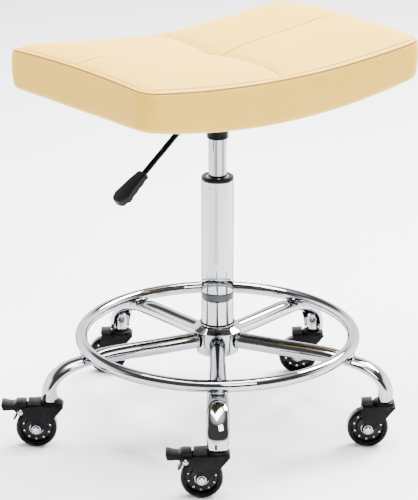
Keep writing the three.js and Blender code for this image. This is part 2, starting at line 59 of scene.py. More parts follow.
class Signal:
    """A number on a node socket, with arithmetic that adds Math nodes."""

    def __init__(self, sketch: "Sketch", socket: bpy.types.NodeSocket) -> None:
        """Wraps a socket of a sketch's tree."""
        self.sketch = sketch
        self.socket = socket

    def maths(self, operation: str, *others: Term, first: bool = True) -> "Signal":
        """Adds a Math node.

        Args:
            operation: The node's operation.
            others: Its other inputs.
            first: Whether this signal is the first input, or the second.

        Returns:
            The node's value.
        """
        values = [self, *others] if first else [*others, self]
        inputs = {i: value for i, value in enumerate(values)}
        return self.sketch.number("ShaderNodeMath", {"operation": operation}, inputs)

    def __add__(self, other: Term) -> "Signal":
        """Sum."""
        return self.maths("ADD", other)

    __radd__ = __add__

    def __sub__(self, other: Term) -> "Signal":
        """Difference."""
        return self.maths("SUBTRACT", other)

    def __rsub__(self, other: Term) -> "Signal":
        """Difference from a value."""
        return self.maths("SUBTRACT", other, first=False)

    def __mul__(self, other: Term) -> "Signal":
        """Product."""
        return self.maths("MULTIPLY", other)

    __rmul__ = __mul__

    def __truediv__(self, other: Term) -> "Signal":
        """Quotient."""
        return self.maths("DIVIDE", other)

    def __abs__(self) -> "Signal":
        """Absolute value."""
        return self.maths("ABSOLUTE")

    def at_least(self, other: Term) -> "Signal":
        """The larger of the two."""
        return self.maths("MAXIMUM", other)

    def at_most(self, other: Term) -> "Signal":
        """The smaller of the two."""
        return self.maths("MINIMUM", other)

    def root(self) -> "Signal":
        """Square root."""
        return self.maths("SQRT")

    def above(self, low: Number, high: Number) -> "Signal":
        """Rises smoothly from 0 at low to 1 at high."""
        settings = {"interpolation_type": "SMOOTHSTEP"}
        inputs = {"Value": self, "From Min": low, "From Max": high}
        return self.sketch.number("ShaderNodeMapRange", settings, inputs)

    def line(self, width: Number) -> "Signal":
        """1 where the signal is zero, fading to 0 at half a width on either side."""
        return 1 - abs(self).above(width * 0.2, width * 0.5)


class Sketch:
    """A node tree under construction."""

    def __init__(self, tree: bpy.types.NodeTree) -> None:
        """Wraps a tree."""
        self.tree = tree

    def add(
        self, kind: str, settings: Optional[dict] = None, inputs: Optional[dict] = None
    ) -> bpy.types.Node:
        """Adds any node.

        Args:
            kind: The node's type.
            settings: Attributes to set first; "stops" sets a colour ramp.
            inputs: Values, sockets or signals by input name or number.

        Returns:
            The node.
        """
        node = self.tree.nodes.new(kind)
        for key, value in (settings or {}).items():
            if key == "stops":
                self.set_ramp(node.color_ramp, value)
            else:
                setattr(node, key, value)
        for key, value in (inputs or {}).items():
            self.feed(node.inputs[key], value)
        return node

    @staticmethod
    def set_ramp(ramp: bpy.types.ColorRamp, stops: Sequence[tuple]) -> None:
        """Gives a colour ramp its stops, each a position and a shade of grey."""
        while len(ramp.elements) < len(stops):
            ramp.elements.new(0.5)
        for element, (position, shade) in zip(ramp.elements, stops):
            element.position = position
            element.color = (shade, shade, shade, 1)

    def feed(self, socket: bpy.types.NodeSocket, value: object) -> None:
        """Links or sets one input socket."""
        if isinstance(value, Signal):
            value = value.socket
        if isinstance(value, bpy.types.NodeSocket):
            self.tree.links.new(value, socket)
        elif socket.type == "RGBA":
            socket.default_value = (*value[:3], 1)
        else:
            socket.default_value = value

    def number(self, kind: str, settings: dict, inputs: dict, output: Union[int, str] = 0) -> Signal:
        """Adds a node and returns one of its outputs as a signal."""
        return Signal(self, self.add(kind, settings, inputs).outputs[output])

    def blend(self, share: Signal, first: object, second: object) -> bpy.types.NodeSocket:
        """Mixes two colours."""
        node = self.add("ShaderNodeMix", {"data_type": "RGBA"}, {"Factor": share})
        colours = [socket for socket in node.inputs if socket.type == "RGBA"]
        self.feed(colours[0], first)
        self.feed(colours[1], second)
        return next(socket for socket in node.outputs if socket.type == "RGBA")


class Paint(Sketch):
    """One material under construction, with its Principled shader."""

    def __init__(self, name: str) -> None:
        """Makes an empty material with a shader and its output."""
        self.material = bpy.data.materials.new(name)
        self.material.use_nodes = True
        super().__init__(self.material.node_tree)
        self.tree.nodes.clear()
        self.shader = self.add("ShaderNodeBsdfPrincipled")
        output = self.add("ShaderNodeOutputMaterial")
        self.tree.links.new(self.shader.outputs[0], output.inputs[0])
        self.place = self.add("ShaderNodeTexCoord").outputs["Object"]

    def noise(
        self, scale: float, detail: float = 3, roughness: float = 0.55, stretch: Point = (1, 1, 1)
    ) -> Signal:
        """Fractal noise on object coordinates, in cells per metre."""
        place = self.add("ShaderNodeMapping", None, {"Vector": self.place, "Scale": stretch}).outputs[0]
        inputs = {"Vector": place, "Scale": scale, "Detail": detail, "Roughness": roughness}
        return self.number("ShaderNodeTexNoise", {}, inputs)

    def cells(self, scale: float, feature: str = "F1", randomness: float = 1.0) -> Signal:
        """Voronoi cell distance on object coordinates."""
        inputs = {"Vector": self.place, "Scale": scale, "Randomness": randomness}
        return self.number("ShaderNodeTexVoronoi", {"feature": feature}, inputs)

    def bump(self, height: Signal, strength: float, distance: float) -> None:
        """Adds a Bump node over the ones that are already there."""
        inputs = {"Height": height, "Strength": strength, "Distance": distance}
        if self.shader.inputs["Normal"].is_linked:
            inputs["Normal"] = self.shader.inputs["Normal"].links[0].from_socket
        self.feed(self.shader.inputs["Normal"], self.add("ShaderNodeBump", None, inputs).outputs[0])

    def set(self, **values: object) -> None:
        """Feeds Principled inputs; an underscore stands for a space in their names."""
        for name, value in values.items():
            self.feed(self.shader.inputs[name.replace("_", " ")], value)


@dataclass(frozen=True)
class Finish:
    """A surface finish. Each kind paints one material."""

    name: str

    def paint(self) -> bpy.types.Material:
        """Returns this finish's material, made once."""
        known = bpy.data.materials.get(self.name)
        if known:
            return known
        sketch = Paint(self.name)
        self.draw(sketch)
        return sketch.material

    def draw(self, sketch: Paint) -> None:
        """Adds the nodes of this finish."""
        raise NotImplementedError


@dataclass(frozen=True)
class Plated(Finish):
    """Chrome or zinc over steel: a mirror with faint haze, polishing lines and a few specks."""

    tint: Point = (0.42, 0.43, 0.445)
    shade: Point = (0.36, 0.37, 0.39)
    polish: float = 0.03
    haze: float = 0.05
    brush: float = 0.0

    def draw(self, sketch: Paint) -> None:
        """Adds the nodes of this finish."""
        cloud = sketch.noise(9, 4)
        specks = 1 - sketch.cells(240).above(0.02, 0.10)
        lines = sketch.noise(60, 2, 0.6, (1, 1, 22))
        sketch.set(Metallic=1.0, Base_Color=sketch.blend(cloud.above(0.35, 0.75), self.tint, self.shade))
        sketch.set(Specular_Tint=(0.45, 0.45, 0.47))
        grime = cloud.above(0.45, 0.8) * self.haze
        sketch.set(Roughness=grime + specks * 0.12 + lines * self.brush + self.polish)
        sketch.bump(sketch.noise(26, 2), 0.03, 0.0012)
        if self.brush:
            sketch.bump(lines, 0.12, 0.0002)


@dataclass(frozen=True)
class Coated(Finish):
    """Black powder coat or moulded plastic: fine orange peel, dust and rubbed high spots."""

    tint: Point = (0.003, 0.003, 0.004)
    worn: Point = (0.008, 0.008, 0.010)
    roughness: float = 0.32
    grain: float = 900
    depth: float = 0.00008
    shine: float = 0.06

    def draw(self, sketch: Paint) -> None:
        """Adds the nodes of this finish."""
        cloud = sketch.noise(35, 5)
        rubbed = cloud.above(0.52, 0.78)
        sketch.set(Base_Color=sketch.blend(rubbed, self.tint, self.worn), Specular_IOR_Level=self.shine)
        sketch.set(Roughness=self.roughness + rubbed * 0.12 - cloud * 0.06)
        sketch.bump(sketch.noise(self.grain, 2), 0.35, self.depth)


@dataclass(frozen=True)
class Urethane(Finish):
    """Dark glossy tyre: faint scuffs round the tread and a clear skin."""

    def draw(self, sketch: Paint) -> None:
        """Adds the nodes of this finish."""
        scuff = sketch.noise(120, 6, 0.7)
        dust = scuff.above(0.55, 0.75)
        sketch.set(Base_Color=sketch.blend(dust, (0.003, 0.003, 0.004), (0.012, 0.012, 0.014)))
        sketch.set(Roughness=dust * 0.25 + 0.12, Specular_IOR_Level=0.1)
        sketch.bump(scuff, 0.15, 0.0001)


@dataclass(frozen=True)
class Smoked(Finish):
    """Smoky plastic bush that lets some light through."""

    def draw(self, sketch: Paint) -> None:
        """Adds the nodes of this finish."""
        cloud = sketch.noise(60, 3)
        sketch.set(Base_Color=sketch.blend(cloud, (0.02, 0.022, 0.03), (0.06, 0.063, 0.075)))
        sketch.set(Roughness=cloud * 0.15 + 0.16, IOR=1.46)
        sketch.bump(sketch.noise(400, 2), 0.1, 0.0001)


@dataclass(frozen=True)
class Weave(Finish):
    """Spun cloth, foam or thread: soft fibres of one colour family."""

    tint: Point = (0.02, 0.02, 0.02)
    shade: Point = (0.045, 0.045, 0.045)
    scale: float = 1400
    depth: float = 0.0002

    def draw(self, sketch: Paint) -> None:
        """Adds the nodes of this finish."""
        fibres = sketch.noise(self.scale, 4, 0.7)
        sketch.set(Base_Color=sketch.blend(fibres.above(0.3, 0.7), self.tint, self.shade))
        sketch.set(Roughness=fibres * 0.2 + 0.75)
        sketch.bump(fibres, 0.6, self.depth)


@dataclass(frozen=True)
class Plywood(Finish):
    """Moulded plywood with long grain and darker plies."""

    def draw(self, sketch: Paint) -> None:
        """Adds the nodes of this finish."""
        grain = sketch.noise(12, 6, 0.6, (1, 9, 30))
        sketch.set(Base_Color=sketch.blend(grain, (0.36, 0.22, 0.11), (0.66, 0.48, 0.28)))
        sketch.set(Roughness=grain * 0.2 + 0.5)
        sketch.bump(grain, 0.3, 0.0003)


@dataclass(frozen=True)
class SeatVinyl(Finish):
    """Cream vinyl with a pebble grain, drawn seams and top stitching laid out on the seat's plan."""

    length: float = 0.54
    width: float = 0.325
    corner: float = 0.024
    turn: float = math.radians(40)
    edge: float = 0.593
    rise: float = 0.0196
    lean: float = 0.0056
    arch: float = 0.006
    stitch_inset: float = 0.0075
    tint: Point = (0.70, 0.425, 0.042)
    shade: Point = (0.67, 0.40, 0.038)
    thread: Point = (0.20, 0.10, 0.02)

    def draw(self, sketch: Paint) -> None:
        """Adds the nodes of this finish."""
        along, across, up = self.plan(sketch)
        share = along / (self.length / 2)
        square = share * share
        edge = square * self.rise - share * self.lean + self.edge
        cross = across / (self.width / 2)
        edge = edge + square * square * (1 - cross * cross) * self.arch
        seam_height = up - edge
        depth = self.inside(along, across)
        on_top = seam_height.above(-0.004, 0.0005)
        rim_seam = seam_height.line(0.0032) * (1 - depth.above(0.003, 0.006))
        stitch = (depth - self.stitch_inset).line(0.0022) * on_top
        quilt = (along.line(0.0030) + across.line(0.0030)).at_most(1) * on_top * depth.above(0.008, 0.010)
        creases = (rim_seam + quilt + stitch * 0.7).at_most(1)
        cloud = sketch.noise(7, 3)
        tone = sketch.blend(cloud.above(0.3, 0.7), self.tint, self.shade)
        sketch.set(Base_Color=sketch.blend(creases * 0.85, tone, self.thread))
        pebble = sketch.cells(620)
        fine = sketch.noise(1500, 3, 0.6)
        sketch.set(Roughness=0.42 + cloud * 0.10 + fine * 0.08, Specular_IOR_Level=0.16)
        sketch.bump(pebble + fine * 0.5, 0.22, 0.00025)
        sketch.bump(sketch.noise(55, 3), 0.12, 0.0012)
        sketch.bump(1 - creases, 0.8, 0.0012)

    def plan(self, sketch: Paint) -> tuple:
        """Returns the signals along the seat, across it and up."""
        inputs = {"Vector": sketch.place, "Rotation": (0, 0, -self.turn)}
        turned = sketch.add("ShaderNodeMapping", None, inputs).outputs[0]
        split = sketch.add("ShaderNodeSeparateXYZ", None, {0: turned})
        return tuple(Signal(sketch, split.outputs[i]) for i in range(3))

    def inside(self, along: Signal, across: Signal) -> Signal:
        """How far a place is inside the seat's rounded outline."""
        past_end = (abs(along) - (self.length / 2 - self.corner)).at_least(-0.2)
        past_side = (abs(across) - (self.width / 2 - self.corner)).at_least(-0.2)
        end, side = past_end.at_least(0), past_side.at_least(0)
        outer = (end * end + side * side).root()
        inner = past_end.at_least(past_side).at_most(0)
        return self.corner - outer - inner


class Slot(Enum):
    """The record's material slots, each with the finish that it gets."""

    CHROME = Plated("chrome_plate")
    NUT = Plated("satin_nut", tint=(0.42, 0.42, 0.43), polish=0.12, haze=0.1, brush=0.06)
    ZINC = Plated("zinc_plate", tint=(0.46, 0.47, 0.49), shade=(0.34, 0.35, 0.37), polish=0.10, haze=0.12)
    PAINT = Coated("black_powder_coat")
    NYLON = Coated("moulded_nylon", tint=(0.004, 0.004, 0.005), worn=(0.010, 0.010, 0.012), roughness=0.38,
                   grain=700)
    CORE = Coated("wheel_core_black", roughness=0.14, shine=0.12)
    GRIP = Coated("grip_black", tint=(0.013, 0.013, 0.014), worn=(0.022, 0.022, 0.024), roughness=0.45,
                  grain=500)
    TYRE = Urethane("tyre_urethane")
    SMOKE = Smoked("smoked_bush")
    VINYL = SeatVinyl("cream_vinyl_sewn")
    FOAM = Weave("seat_foam_open_cell", tint=(0.75, 0.70, 0.56), shade=(0.6, 0.55, 0.42), scale=500)
    BOARD = Plywood("moulded_plywood")
    CLOTH = Weave("spun_black_cloth", tint=(0.006, 0.006, 0.006), shade=(0.014, 0.014, 0.014))

    def dress(self, piece: bpy.types.Object) -> None:
        """Puts this slot's finish on a piece."""
        piece.data.materials.clear()
        piece.data.materials.append(self.value.paint())


# --------------------------------------------------------------------------- modelling


def deselect() -> None:
    """Leaves nothing selected, in object mode."""
    if bpy.context.object and bpy.context.object.mode != "OBJECT":
        bpy.ops.object.mode_set(mode="OBJECT")
    bpy.ops.object.select_all(action="DESELECT")


def focus(piece: bpy.types.Object) -> None:
    """Selects one piece and makes it active."""
    deselect()
    piece.select_set(True)
    bpy.context.view_layer.objects.active = piece


def smooth(piece: bpy.types.Object, degrees: float = 35) -> None:
    """Shades smooth, with edges sharper than an angle kept sharp."""
    focus(piece)
    bpy.ops.object.shade_smooth_by_angle(angle=math.radians(degrees))


def tidy_mesh() -> None:
    """In edit mode: merges doubles and points all faces outwards."""
    bpy.ops.mesh.select_all(action="SELECT")
    bpy.ops.mesh.remove_doubles(threshold=1e-6)
    bpy.ops.mesh.normals_make_consistent(inside=False)


def start_path(name: str, first: Point) -> bpy.types.Object:
    """Starts a piece from one vertex, left selected in edit mode."""
    deselect()
    bpy.ops.mesh.primitive_plane_add(size=MM)
    piece = bpy.context.object
    piece.name = name
    bpy.ops.object.mode_set(mode="EDIT")
    bpy.ops.mesh.merge(type="CENTER")
    bpy.ops.transform.translate(value=first)
    return piece


def draw_path(points: Sequence[Point]) -> None:
    """Extrudes the selected vertex from point to point."""
    for before, after in zip(points, points[1:]):
        step = Vector(after) - Vector(before)
        bpy.ops.mesh.extrude_vertices_move(TRANSFORM_OT_translate={"value": step})


def turned(name: str, outline: Sequence[tuple], steps: int = 64, soft: float = 35) -> bpy.types.Object:
    """Turns an outline of (radius, height) in millimetres about Z.

    Args:
        name: The piece's name.
        outline: The outline, from one end to the other or closed on itself.
        steps: Sides of the turned piece.
        soft: Edges sharper than this many degrees stay sharp.

    Returns:
        The piece.
    """
    points = [Vector((radius * MM, 0, height * MM)) for radius, height in outline]
    piece = start_path(name, points[0])
    draw_path(points)
    bpy.ops.mesh.select_all(action="SELECT")
    bpy.ops.mesh.spin(steps=steps, angle=2 * math.pi, center=(0, 0, 0), axis=(0, 0, 1))
    tidy_mesh()
    bpy.ops.object.mode_set(mode="OBJECT")
    smooth(piece, soft)
    return piece


def arc(centre: tuple, radius: float, start: float, end: float, steps: int = 6) -> list:
    """Points of an arc in an outline, from and to angles in degrees."""
    angles = [math.radians(start + (end - start) * i / steps) for i in range(steps + 1)]
    return [(centre[0] + radius * math.cos(a), centre[1] + radius * math.sin(a)) for a in angles]


def rounded(points: Sequence[tuple], radii: Union[float, Sequence[float]], steps: int = 4) -> list:
    """Rounds the corners of a closed outline.

    Args:
        points: The outline's corners.
        radii: One radius for all corners or one for each.
        steps: Segments of each round.

    Returns:
        The outline's points.
    """
    count = len(points)
    sizes = [radii] * count if isinstance(radii, (int, float)) else list(radii)
    outline = []
    for i, corner in enumerate(points):
        here = Vector(corner)
        back = (Vector(points[i - 1]) - here).normalized()
        ahead = (Vector(points[(i + 1) % count]) - here).normalized()
        opening = back.angle(ahead)
        if sizes[i] <= 0:
            outline.append(tuple(here))
            continue
        reach = sizes[i] / math.tan(opening / 2)
        for step in range(steps + 1):
            t = step / steps
            outline.append(tuple(here + back * reach * (1 - t) ** 2 + ahead * reach * t**2))
    return outline


def plate(
    name: str, outline: Sequence[tuple], low: float, high: float, bevel: float = 0.0
) -> bpy.types.Object:
    """Makes a plate from an outline of (x, z) in millimetres between two stations on Y.

    Args:
        name: The piece's name.
        outline: The closed outline.
        low: The plate's station nearest -Y.
        high: The station nearest +Y.
        bevel: Width of the round along its edges.

    Returns:
        The piece.
    """
    points = [Vector((x * MM, low * MM, z * MM)) for x, z in outline]
    piece = start_path(name, points[0])
    draw_path(points)
    bpy.ops.mesh.select_all(action="SELECT")
    bpy.ops.mesh.edge_face_add()
    tidy_mesh()
    bpy.ops.mesh.extrude_region_move(TRANSFORM_OT_translate={"value": (0, (high - low) * MM, 0)})
    tidy_mesh()
    bpy.ops.object.mode_set(mode="OBJECT")
    if bevel:
        add_bevel(piece, bevel)
    smooth(piece)
    return piece


def add_bevel(piece: bpy.types.Object, width: float, segments: int = 2, angle: float = 40) -> None:
    """Applies a Bevel modifier to edges sharper than an angle."""
    settings = {"width": width * MM, "segments": segments, "limit_method": "ANGLE",
                "angle_limit": math.radians(angle), "use_clamp_overlap": True}
    apply_modifier(piece, "BEVEL", settings)


def subdivide(piece: bpy.types.Object, cuts: int) -> None:
    """Divides every face of a piece without changing its shape."""
    apply_modifier(piece, "SUBSURF", {"levels": cuts, "render_levels": cuts, "subdivision_type": "SIMPLE"})


def apply_modifier(piece: bpy.types.Object, kind: str, settings: dict) -> None:
    """Adds a modifier with its settings and applies it."""
    focus(piece)
    modifier = piece.modifiers.new(kind.title(), kind)
    for key, value in settings.items():
        setattr(modifier, key, value)
    bpy.ops.object.modifier_apply(modifier=modifier.name)


def cut(piece: bpy.types.Object, tool: bpy.types.Object) -> None:
    """Cuts a tool out of a piece and removes the tool."""
    apply_modifier(piece, "BOOLEAN", {"operation": "DIFFERENCE", "object": tool, "solver": "EXACT"})
    bpy.data.objects.remove(tool)


def peg(name: str, radius: float, low: float, high: float, place: Point, sides: int = 24) -> bpy.types.Object:
    """A round bar along Y, all in millimetres."""
    deselect()
    bpy.ops.mesh.primitive_cylinder_add(vertices=sides, radius=radius * MM, depth=(high - low) * MM)
    piece = bpy.context.object
    piece.name = name
    move = Matrix.Translation(Vector((place[0], (low + high) / 2, place[1])) * MM)
    piece.data.transform(move @ Matrix.Rotation(math.radians(90), 4, "X"))
    return piece


def hoop(
    name: str, radius: float, tube: float, segments: int, sides: int, height: float = 0.0
) -> bpy.types.Object:
    """A level ring of round tube about Z, its radii and height in millimetres.

    Args:
        name: The piece's name.
        radius: From the axis to the middle of the tube.
        tube: The tube's own radius.
        segments: Divisions round the ring.
        sides: Divisions round the tube.
        height: The ring's height.

    Returns:
        The piece.
    """
    deselect()
    bpy.ops.mesh.primitive_torus_add(major_segments=segments, minor_segments=sides, major_radius=radius * MM,
                                     minor_radius=tube * MM, location=(0, 0, height * MM))
    piece = bpy.context.object
    piece.name = name
    return piece


def joined(name: str, pieces: Sequence[bpy.types.Object]) -> bpy.types.Object:
    """Joins pieces into the first."""
    deselect()
    for piece in pieces:
        piece.select_set(True)
    bpy.context.view_layer.objects.active = pieces[0]
    bpy.ops.object.join()
    pieces[0].name = name
    return pieces[0]


def copied(piece: bpy.types.Object, name: str, move: Matrix) -> bpy.types.Object:
    """Copies a piece with its own mesh and moves the mesh."""
    twin = bpy.data.objects.new(name, piece.data.copy())
    twin.data.transform(move)
    bpy.context.scene.collection.objects.link(twin)
    return twin


def moved(piece: bpy.types.Object, move: Matrix) -> bpy.types.Object:
    """Moves a piece's mesh."""
    piece.data.transform(move)
    return piece


def reshape(piece: bpy.types.Object, rule: Callable[[Vector], Vector]) -> None:
    """Moves every vertex by a rule from its old place to its new one."""
    for vertex in piece.data.vertices:
        vertex.co = rule(vertex.co.copy())
    piece.data.update()


class Ends(Enum):
    """How a skin's first and last ring are closed."""

    FACES = "one face each"
    RUNGS = "rungs on both"
    LAST_RUNGS = "rungs on the last, the first left open"


def ladder(first: int, count: int) -> list:
    """The faces that close a ring whose two sides mirror each other, as rungs from side to side."""
    half = count // 2
    end = first + count
    rungs = [(first + i, first + i + 1, end - i - 1, end - i) for i in range(1, half - 1)]
    return [(first, first + 1, end - 1), *rungs, (first + half - 1, first + half, first + half + 1)]


def skin(name: str, rings: Sequence[Sequence[Point]], ends: Ends = Ends.FACES) -> bpy.types.Object:
    """Makes a closed skin over rings of points with equal counts.

    Args:
        name: The piece's name.
        rings: The rings, each a list of points.
        ends: How to close the first and last ring; rungs need rings whose two sides mirror each other.

    Returns:
        The piece.
    """
    count = len(rings[0])
    points = [tuple(point) for ring in rings for point in ring]
    faces = []
    for ring in range(len(rings) - 1):
        for i in range(count):
            a = ring * count + i
            b = ring * count + (i + 1) % count
            faces.append((a, b, b + count, a + count))
    last = (len(rings) - 1) * count
    if ends is Ends.FACES:
        faces += [tuple(reversed(range(count))), tuple(range(last, last + count))]
    else:
        faces += ladder(last, count)
    if ends is Ends.RUNGS:
        faces += ladder(0, count)
    mesh = bpy.data.meshes.new(name)
    mesh.from_pydata(points, [], faces)
    piece = bpy.data.objects.new(name, mesh)
    bpy.context.scene.collection.objects.link(piece)
    focus(piece)
    bpy.ops.object.mode_set(mode="EDIT")
    bpy.ops.mesh.select_all(action="SELECT")
    bpy.ops.mesh.normals_make_consistent(inside=False)
    bpy.ops.object.mode_set(mode="OBJECT")
    return piece


def through(values: Sequence[float], t: float) -> float:
    """A smooth curve through evenly spaced values, at t from 0 to 1."""
    last = len(values) - 1
    position = min(max(t, 0.0), 1.0) * last
    i = min(int(position), last - 1)
    s = position - i
    before = values[i - 1] if i else 2 * values[0] - values[1]
    after = values[i + 2] if i + 2 <= last else 2 * values[last] - values[last - 1]
    a, b = values[i], values[i + 1]
    slope_a = (b - before) / 2
    slope_b = (after - a) / 2
    return ((2 * s**3 - 3 * s**2 + 1) * a + (s**3 - 2 * s**2 + s) * slope_a
            + (3 * s**2 - 2 * s**3) * b + (s**3 - s**2) * slope_b)


def bell(distance: float, width: float) -> float:
    """A smooth hump of height 1 over a place, at a distance from it."""
    return math.exp(-((distance / width) ** 2))


class Maker:
    """Dresses finished pieces, hangs them on their bodies, hides the frame's nodes that they stand for, and
    keeps count of them.
    """

    made: int = 0

    @classmethod
    def finish(
        cls, piece: bpy.types.Object, slot: Slot, body: str, nodes: Iterable[str] = ()
    ) -> bpy.types.Object:
        """Dresses a piece in its slot's finish, hangs it on its body, and hides the nodes that it stands for.

        Args:
            piece: The finished piece.
            slot: Its material slot.
            body: The body that it rides on.
            nodes: The nodes that it replaces.

        Returns:
            The piece.
        """
        slot.dress(piece)
        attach(piece, body)
        if nodes:
            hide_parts(*nodes)
        cls.made += 1
        LOG.info("%s: %d faces on %s", piece.name, len(piece.data.polygons), body)
        return piece


# -------------------------------------------------------------------------- sub-assemblies


@dataclass
class LegStation:
    """A station along a leg, in millimetres."""

    out: float
    up: float
    depth: float
    width: float
    dish: float


@dataclass
class Base:
    """Hub, legs, foot ring and the cone nuts that take the casters."""

    names: tuple = ("front", "right", "back_right", "back_left", "left")
    front_azimuth: float = -90.0
    caster_circle: float = 266.7
    ring_radius: float = 210.9
    ring_tube: float = 9.5
    ring_height: float = 150.4
    hub_radius: float = 32.5
    stations: tuple = (
        LegStation(33.3, 144.7, 12.5, 12.5, 0), LegStation(93, 141.4, 12.5, 12.5, 0),
        LegStation(149, 139.2, 12.4, 13, 0), LegStation(186, 137.2, 11.2, 14.2, 0),
        LegStation(211, 132.8, 7.7, 16.2, 0), LegStation(240, 124.6, 8.8, 16.8, 0.1),
        LegStation(261, 110.5, 8.4, 17.4, 0.4), LegStation(271, 94, 7.8, 17.0, 0.9),
        LegStation(273.4, 77, 7.4, 15.0, 1),
    )
    dish_depth: float = 12.2

    def azimuth(self, name: str) -> float:
        """The direction of a leg, in radians."""
        return math.radians(self.front_azimuth + 72 * self.names.index(name))

    def corner(self, name: str) -> Vector:
        """The floor point under a caster's swivel axis."""
        a = self.azimuth(name)
        return Vector((math.cos(a), math.sin(a), 0)) * self.caster_circle * MM

    def build(self) -> None:
        """Makes the whole base."""
        self.build_hub()
        self.build_ring()
        leg, nut, stem = self.make_leg(), self.make_nut(), self.make_stem()
        for name in self.names:
            spoke = Matrix.Rotation(self.azimuth(name), 4, "Z")
            place = Matrix.Translation(self.corner(name))
            tube = copied(leg, f"leg_tube_{name}", spoke)
            Maker.finish(tube, Slot.CHROME, "base", [f"leg_{name}"])
            cone = copied(nut, f"cone_nut_turned_{name}", place)
            Maker.finish(cone, Slot.CHROME, "base", [f"cone_nut_{name}"])
            bolt = copied(stem, f"stem_bolt_{name}", place)
            Maker.finish(bolt, Slot.ZINC, "base", [f"caster_{name}_stem"])
        for pattern in (leg, nut, stem):
            bpy.data.objects.remove(pattern)

    def build_hub(self) -> None:
        """Makes the welded hub, its cover cone and the seal ring on the cone."""
        r = self.hub_radius
        hub = [(21.5, 124)] + arc((r - 1.2, 125.2), 1.2, -90, 0, 3)
        hub += [(r, 159.4), (31.9, 160), (25, 160), (25, 211.4), (24.4, 212), (21.5, 212), (21.5, 124)]
        Maker.finish(turned("hub_turned", hub, 72), Slot.CHROME, "base", ["hub"])
        cone = [(25.2, 160.6), (38.4, 160.6)] + arc((38.2, 161.4), 0.8, -60, 80, 4)
        cone += [(33.5, 165.6), (29.6, 168.8)] + arc((28.9, 173.2), 4.4, -70, -95, 3)
        cone += [(26.4, 169.6), (26.2, 171.2), (25.3, 171.4), (25.2, 160.6)]
        Maker.finish(turned("hub_cover_cone", cone, 72), Slot.CHROME, "base", ["hub_collar"])
        seal = [(25.1, 171.5), (26.6, 171.5), (26.9, 172.4), (26.4, 173.3), (25.1, 173.4), (25.1, 171.5)]
        Maker.finish(turned("tube_foot_ring", seal, 64), Slot.NYLON, "base")

    def build_ring(self) -> None:
        """Makes the foot ring, its butt weld and the welds to the legs."""
        ring = hoop("foot_ring_tube", self.ring_radius, self.ring_tube, 192, 28)
        joint = math.radians(115)

        def weld_bead(co: Vector) -> Vector:
            """Swells the tube a little where its ends are welded together."""
            angle = math.atan2(co.y, co.x)
            out = Vector((math.cos(angle), math.sin(angle), 0))
            centre = out * self.ring_radius * MM
            offset = abs(angle - joint) * self.ring_radius
            return centre + (co - centre) * (1 + 0.02 * bell(offset, 2.5))

        reshape(ring, weld_bead)
        moved(ring, Matrix.Translation((0, 0, self.ring_height * MM)))
        smooth(ring, 60)
        Maker.finish(ring, Slot.CHROME, "base", ["foot_ring"])
        for name in self.names:
            self.build_welds(name)

    def build_welds(self, name: str) -> None:
        """Makes the weld beads of one leg: round its root and along both sides of the ring's saddle."""
        spoke = Matrix.Rotation(self.azimuth(name), 4, "Z")
        root = hoop(f"root_weld_{name}", 12.6, 1.1, 48, 10)
        curl = Matrix.Translation((33.4 * MM, 0, 144.7 * MM)) @ Matrix.Rotation(math.pi / 2, 4, "Y")
        moved(root, spoke @ curl)
        smooth(root, 60)
        Maker.finish(root, Slot.CHROME, "base")
        beads = []
        for side in (-1, 1):
            x = (self.ring_radius + side * 6.4) * MM
            points = [Vector((x, y * MM, 141.9 * MM)) for y in (-9, -5, 0, 5, 9)]
            rings = []
            for i, point in enumerate(points):
                size = 2.4 * MM * math.sin(math.pi * (i + 0.6) / (len(points) + 0.2))
                rings.append([point + Vector((size * math.cos(a), 0, size * math.sin(a)))
                              for a in (2 * math.pi * k / 12 for k in range(12))])
            beads.append(skin(f"saddle_bead_{side}", rings))
        bead = joined(f"saddle_weld_{name}", beads)
        smooth(moved(bead, spoke), 60)
        Maker.finish(bead, Slot.CHROME, "base")

    def section(self, t: float, sides: int) -> list:
        """One ring of points round the leg, at t along it."""
        def value(key: str, place: float = t) -> float:
            """One measure of the leg at a place along it."""
            return through([getattr(station, key) for station in self.stations], place)

        ahead, behind = min(t + 0.01, 1), max(t - 0.01, 0)
        run = value("out", ahead) - value("out", behind)
        climb = value("up", ahead) - value("up", behind)
        outward = Vector((-climb, 0, run)).normalized()
        middle = Vector((value("out"), 0, value("up")))
        depth, width, dish = value("depth"), value("width"), min(max(value("dish"), 0), 1)
        ring = []
        for i in range(sides):
            angle = 2 * math.pi * i / sides
            lift = math.sin(angle) * depth
            if math.sin(angle) < 0:
                dished = -depth + self.dish_depth * (1 - math.cos(angle) ** 2)
                lift += (dished - lift) * dish
            ring.append((middle + outward * lift + Vector((0, width * math.cos(angle), 0))) * MM)
        return ring

    def make_leg(self) -> bpy.types.Object:
        """Makes one leg along +X: tube, saddle under the ring, and the flattened, dished end."""
        steps, sides = 84, 40
        leg = skin("leg_pattern", [self.section(i / steps, sides) for i in range(steps + 1)])
        cut(leg, hoop("ring_saddle", self.ring_radius, self.ring_tube + 0.15, 240, 24, self.ring_height))
        pocket = turned("nut_pocket", [(0, 70), (10.1, 70), (7.7, 97), (7.7, 104), (0, 104)], 40)
        cut(leg, moved(pocket, Matrix.Translation((self.caster_circle * MM, 0, 0))))
        add_bevel(leg, 0.5, 2, 50)
        smooth(leg, 40)
        return leg

    def make_nut(self) -> bpy.types.Object:
        """Makes the cone nut at a leg's end."""
        outline = [(5.3, 77.4), (8.9, 77.4), (9.5, 78), (9.3, 80), (7.8, 95.6), (7.2, 96.8), (5.3, 96.8),
                   (5.3, 77.4)]
        return turned("cone_pattern", outline, 48)

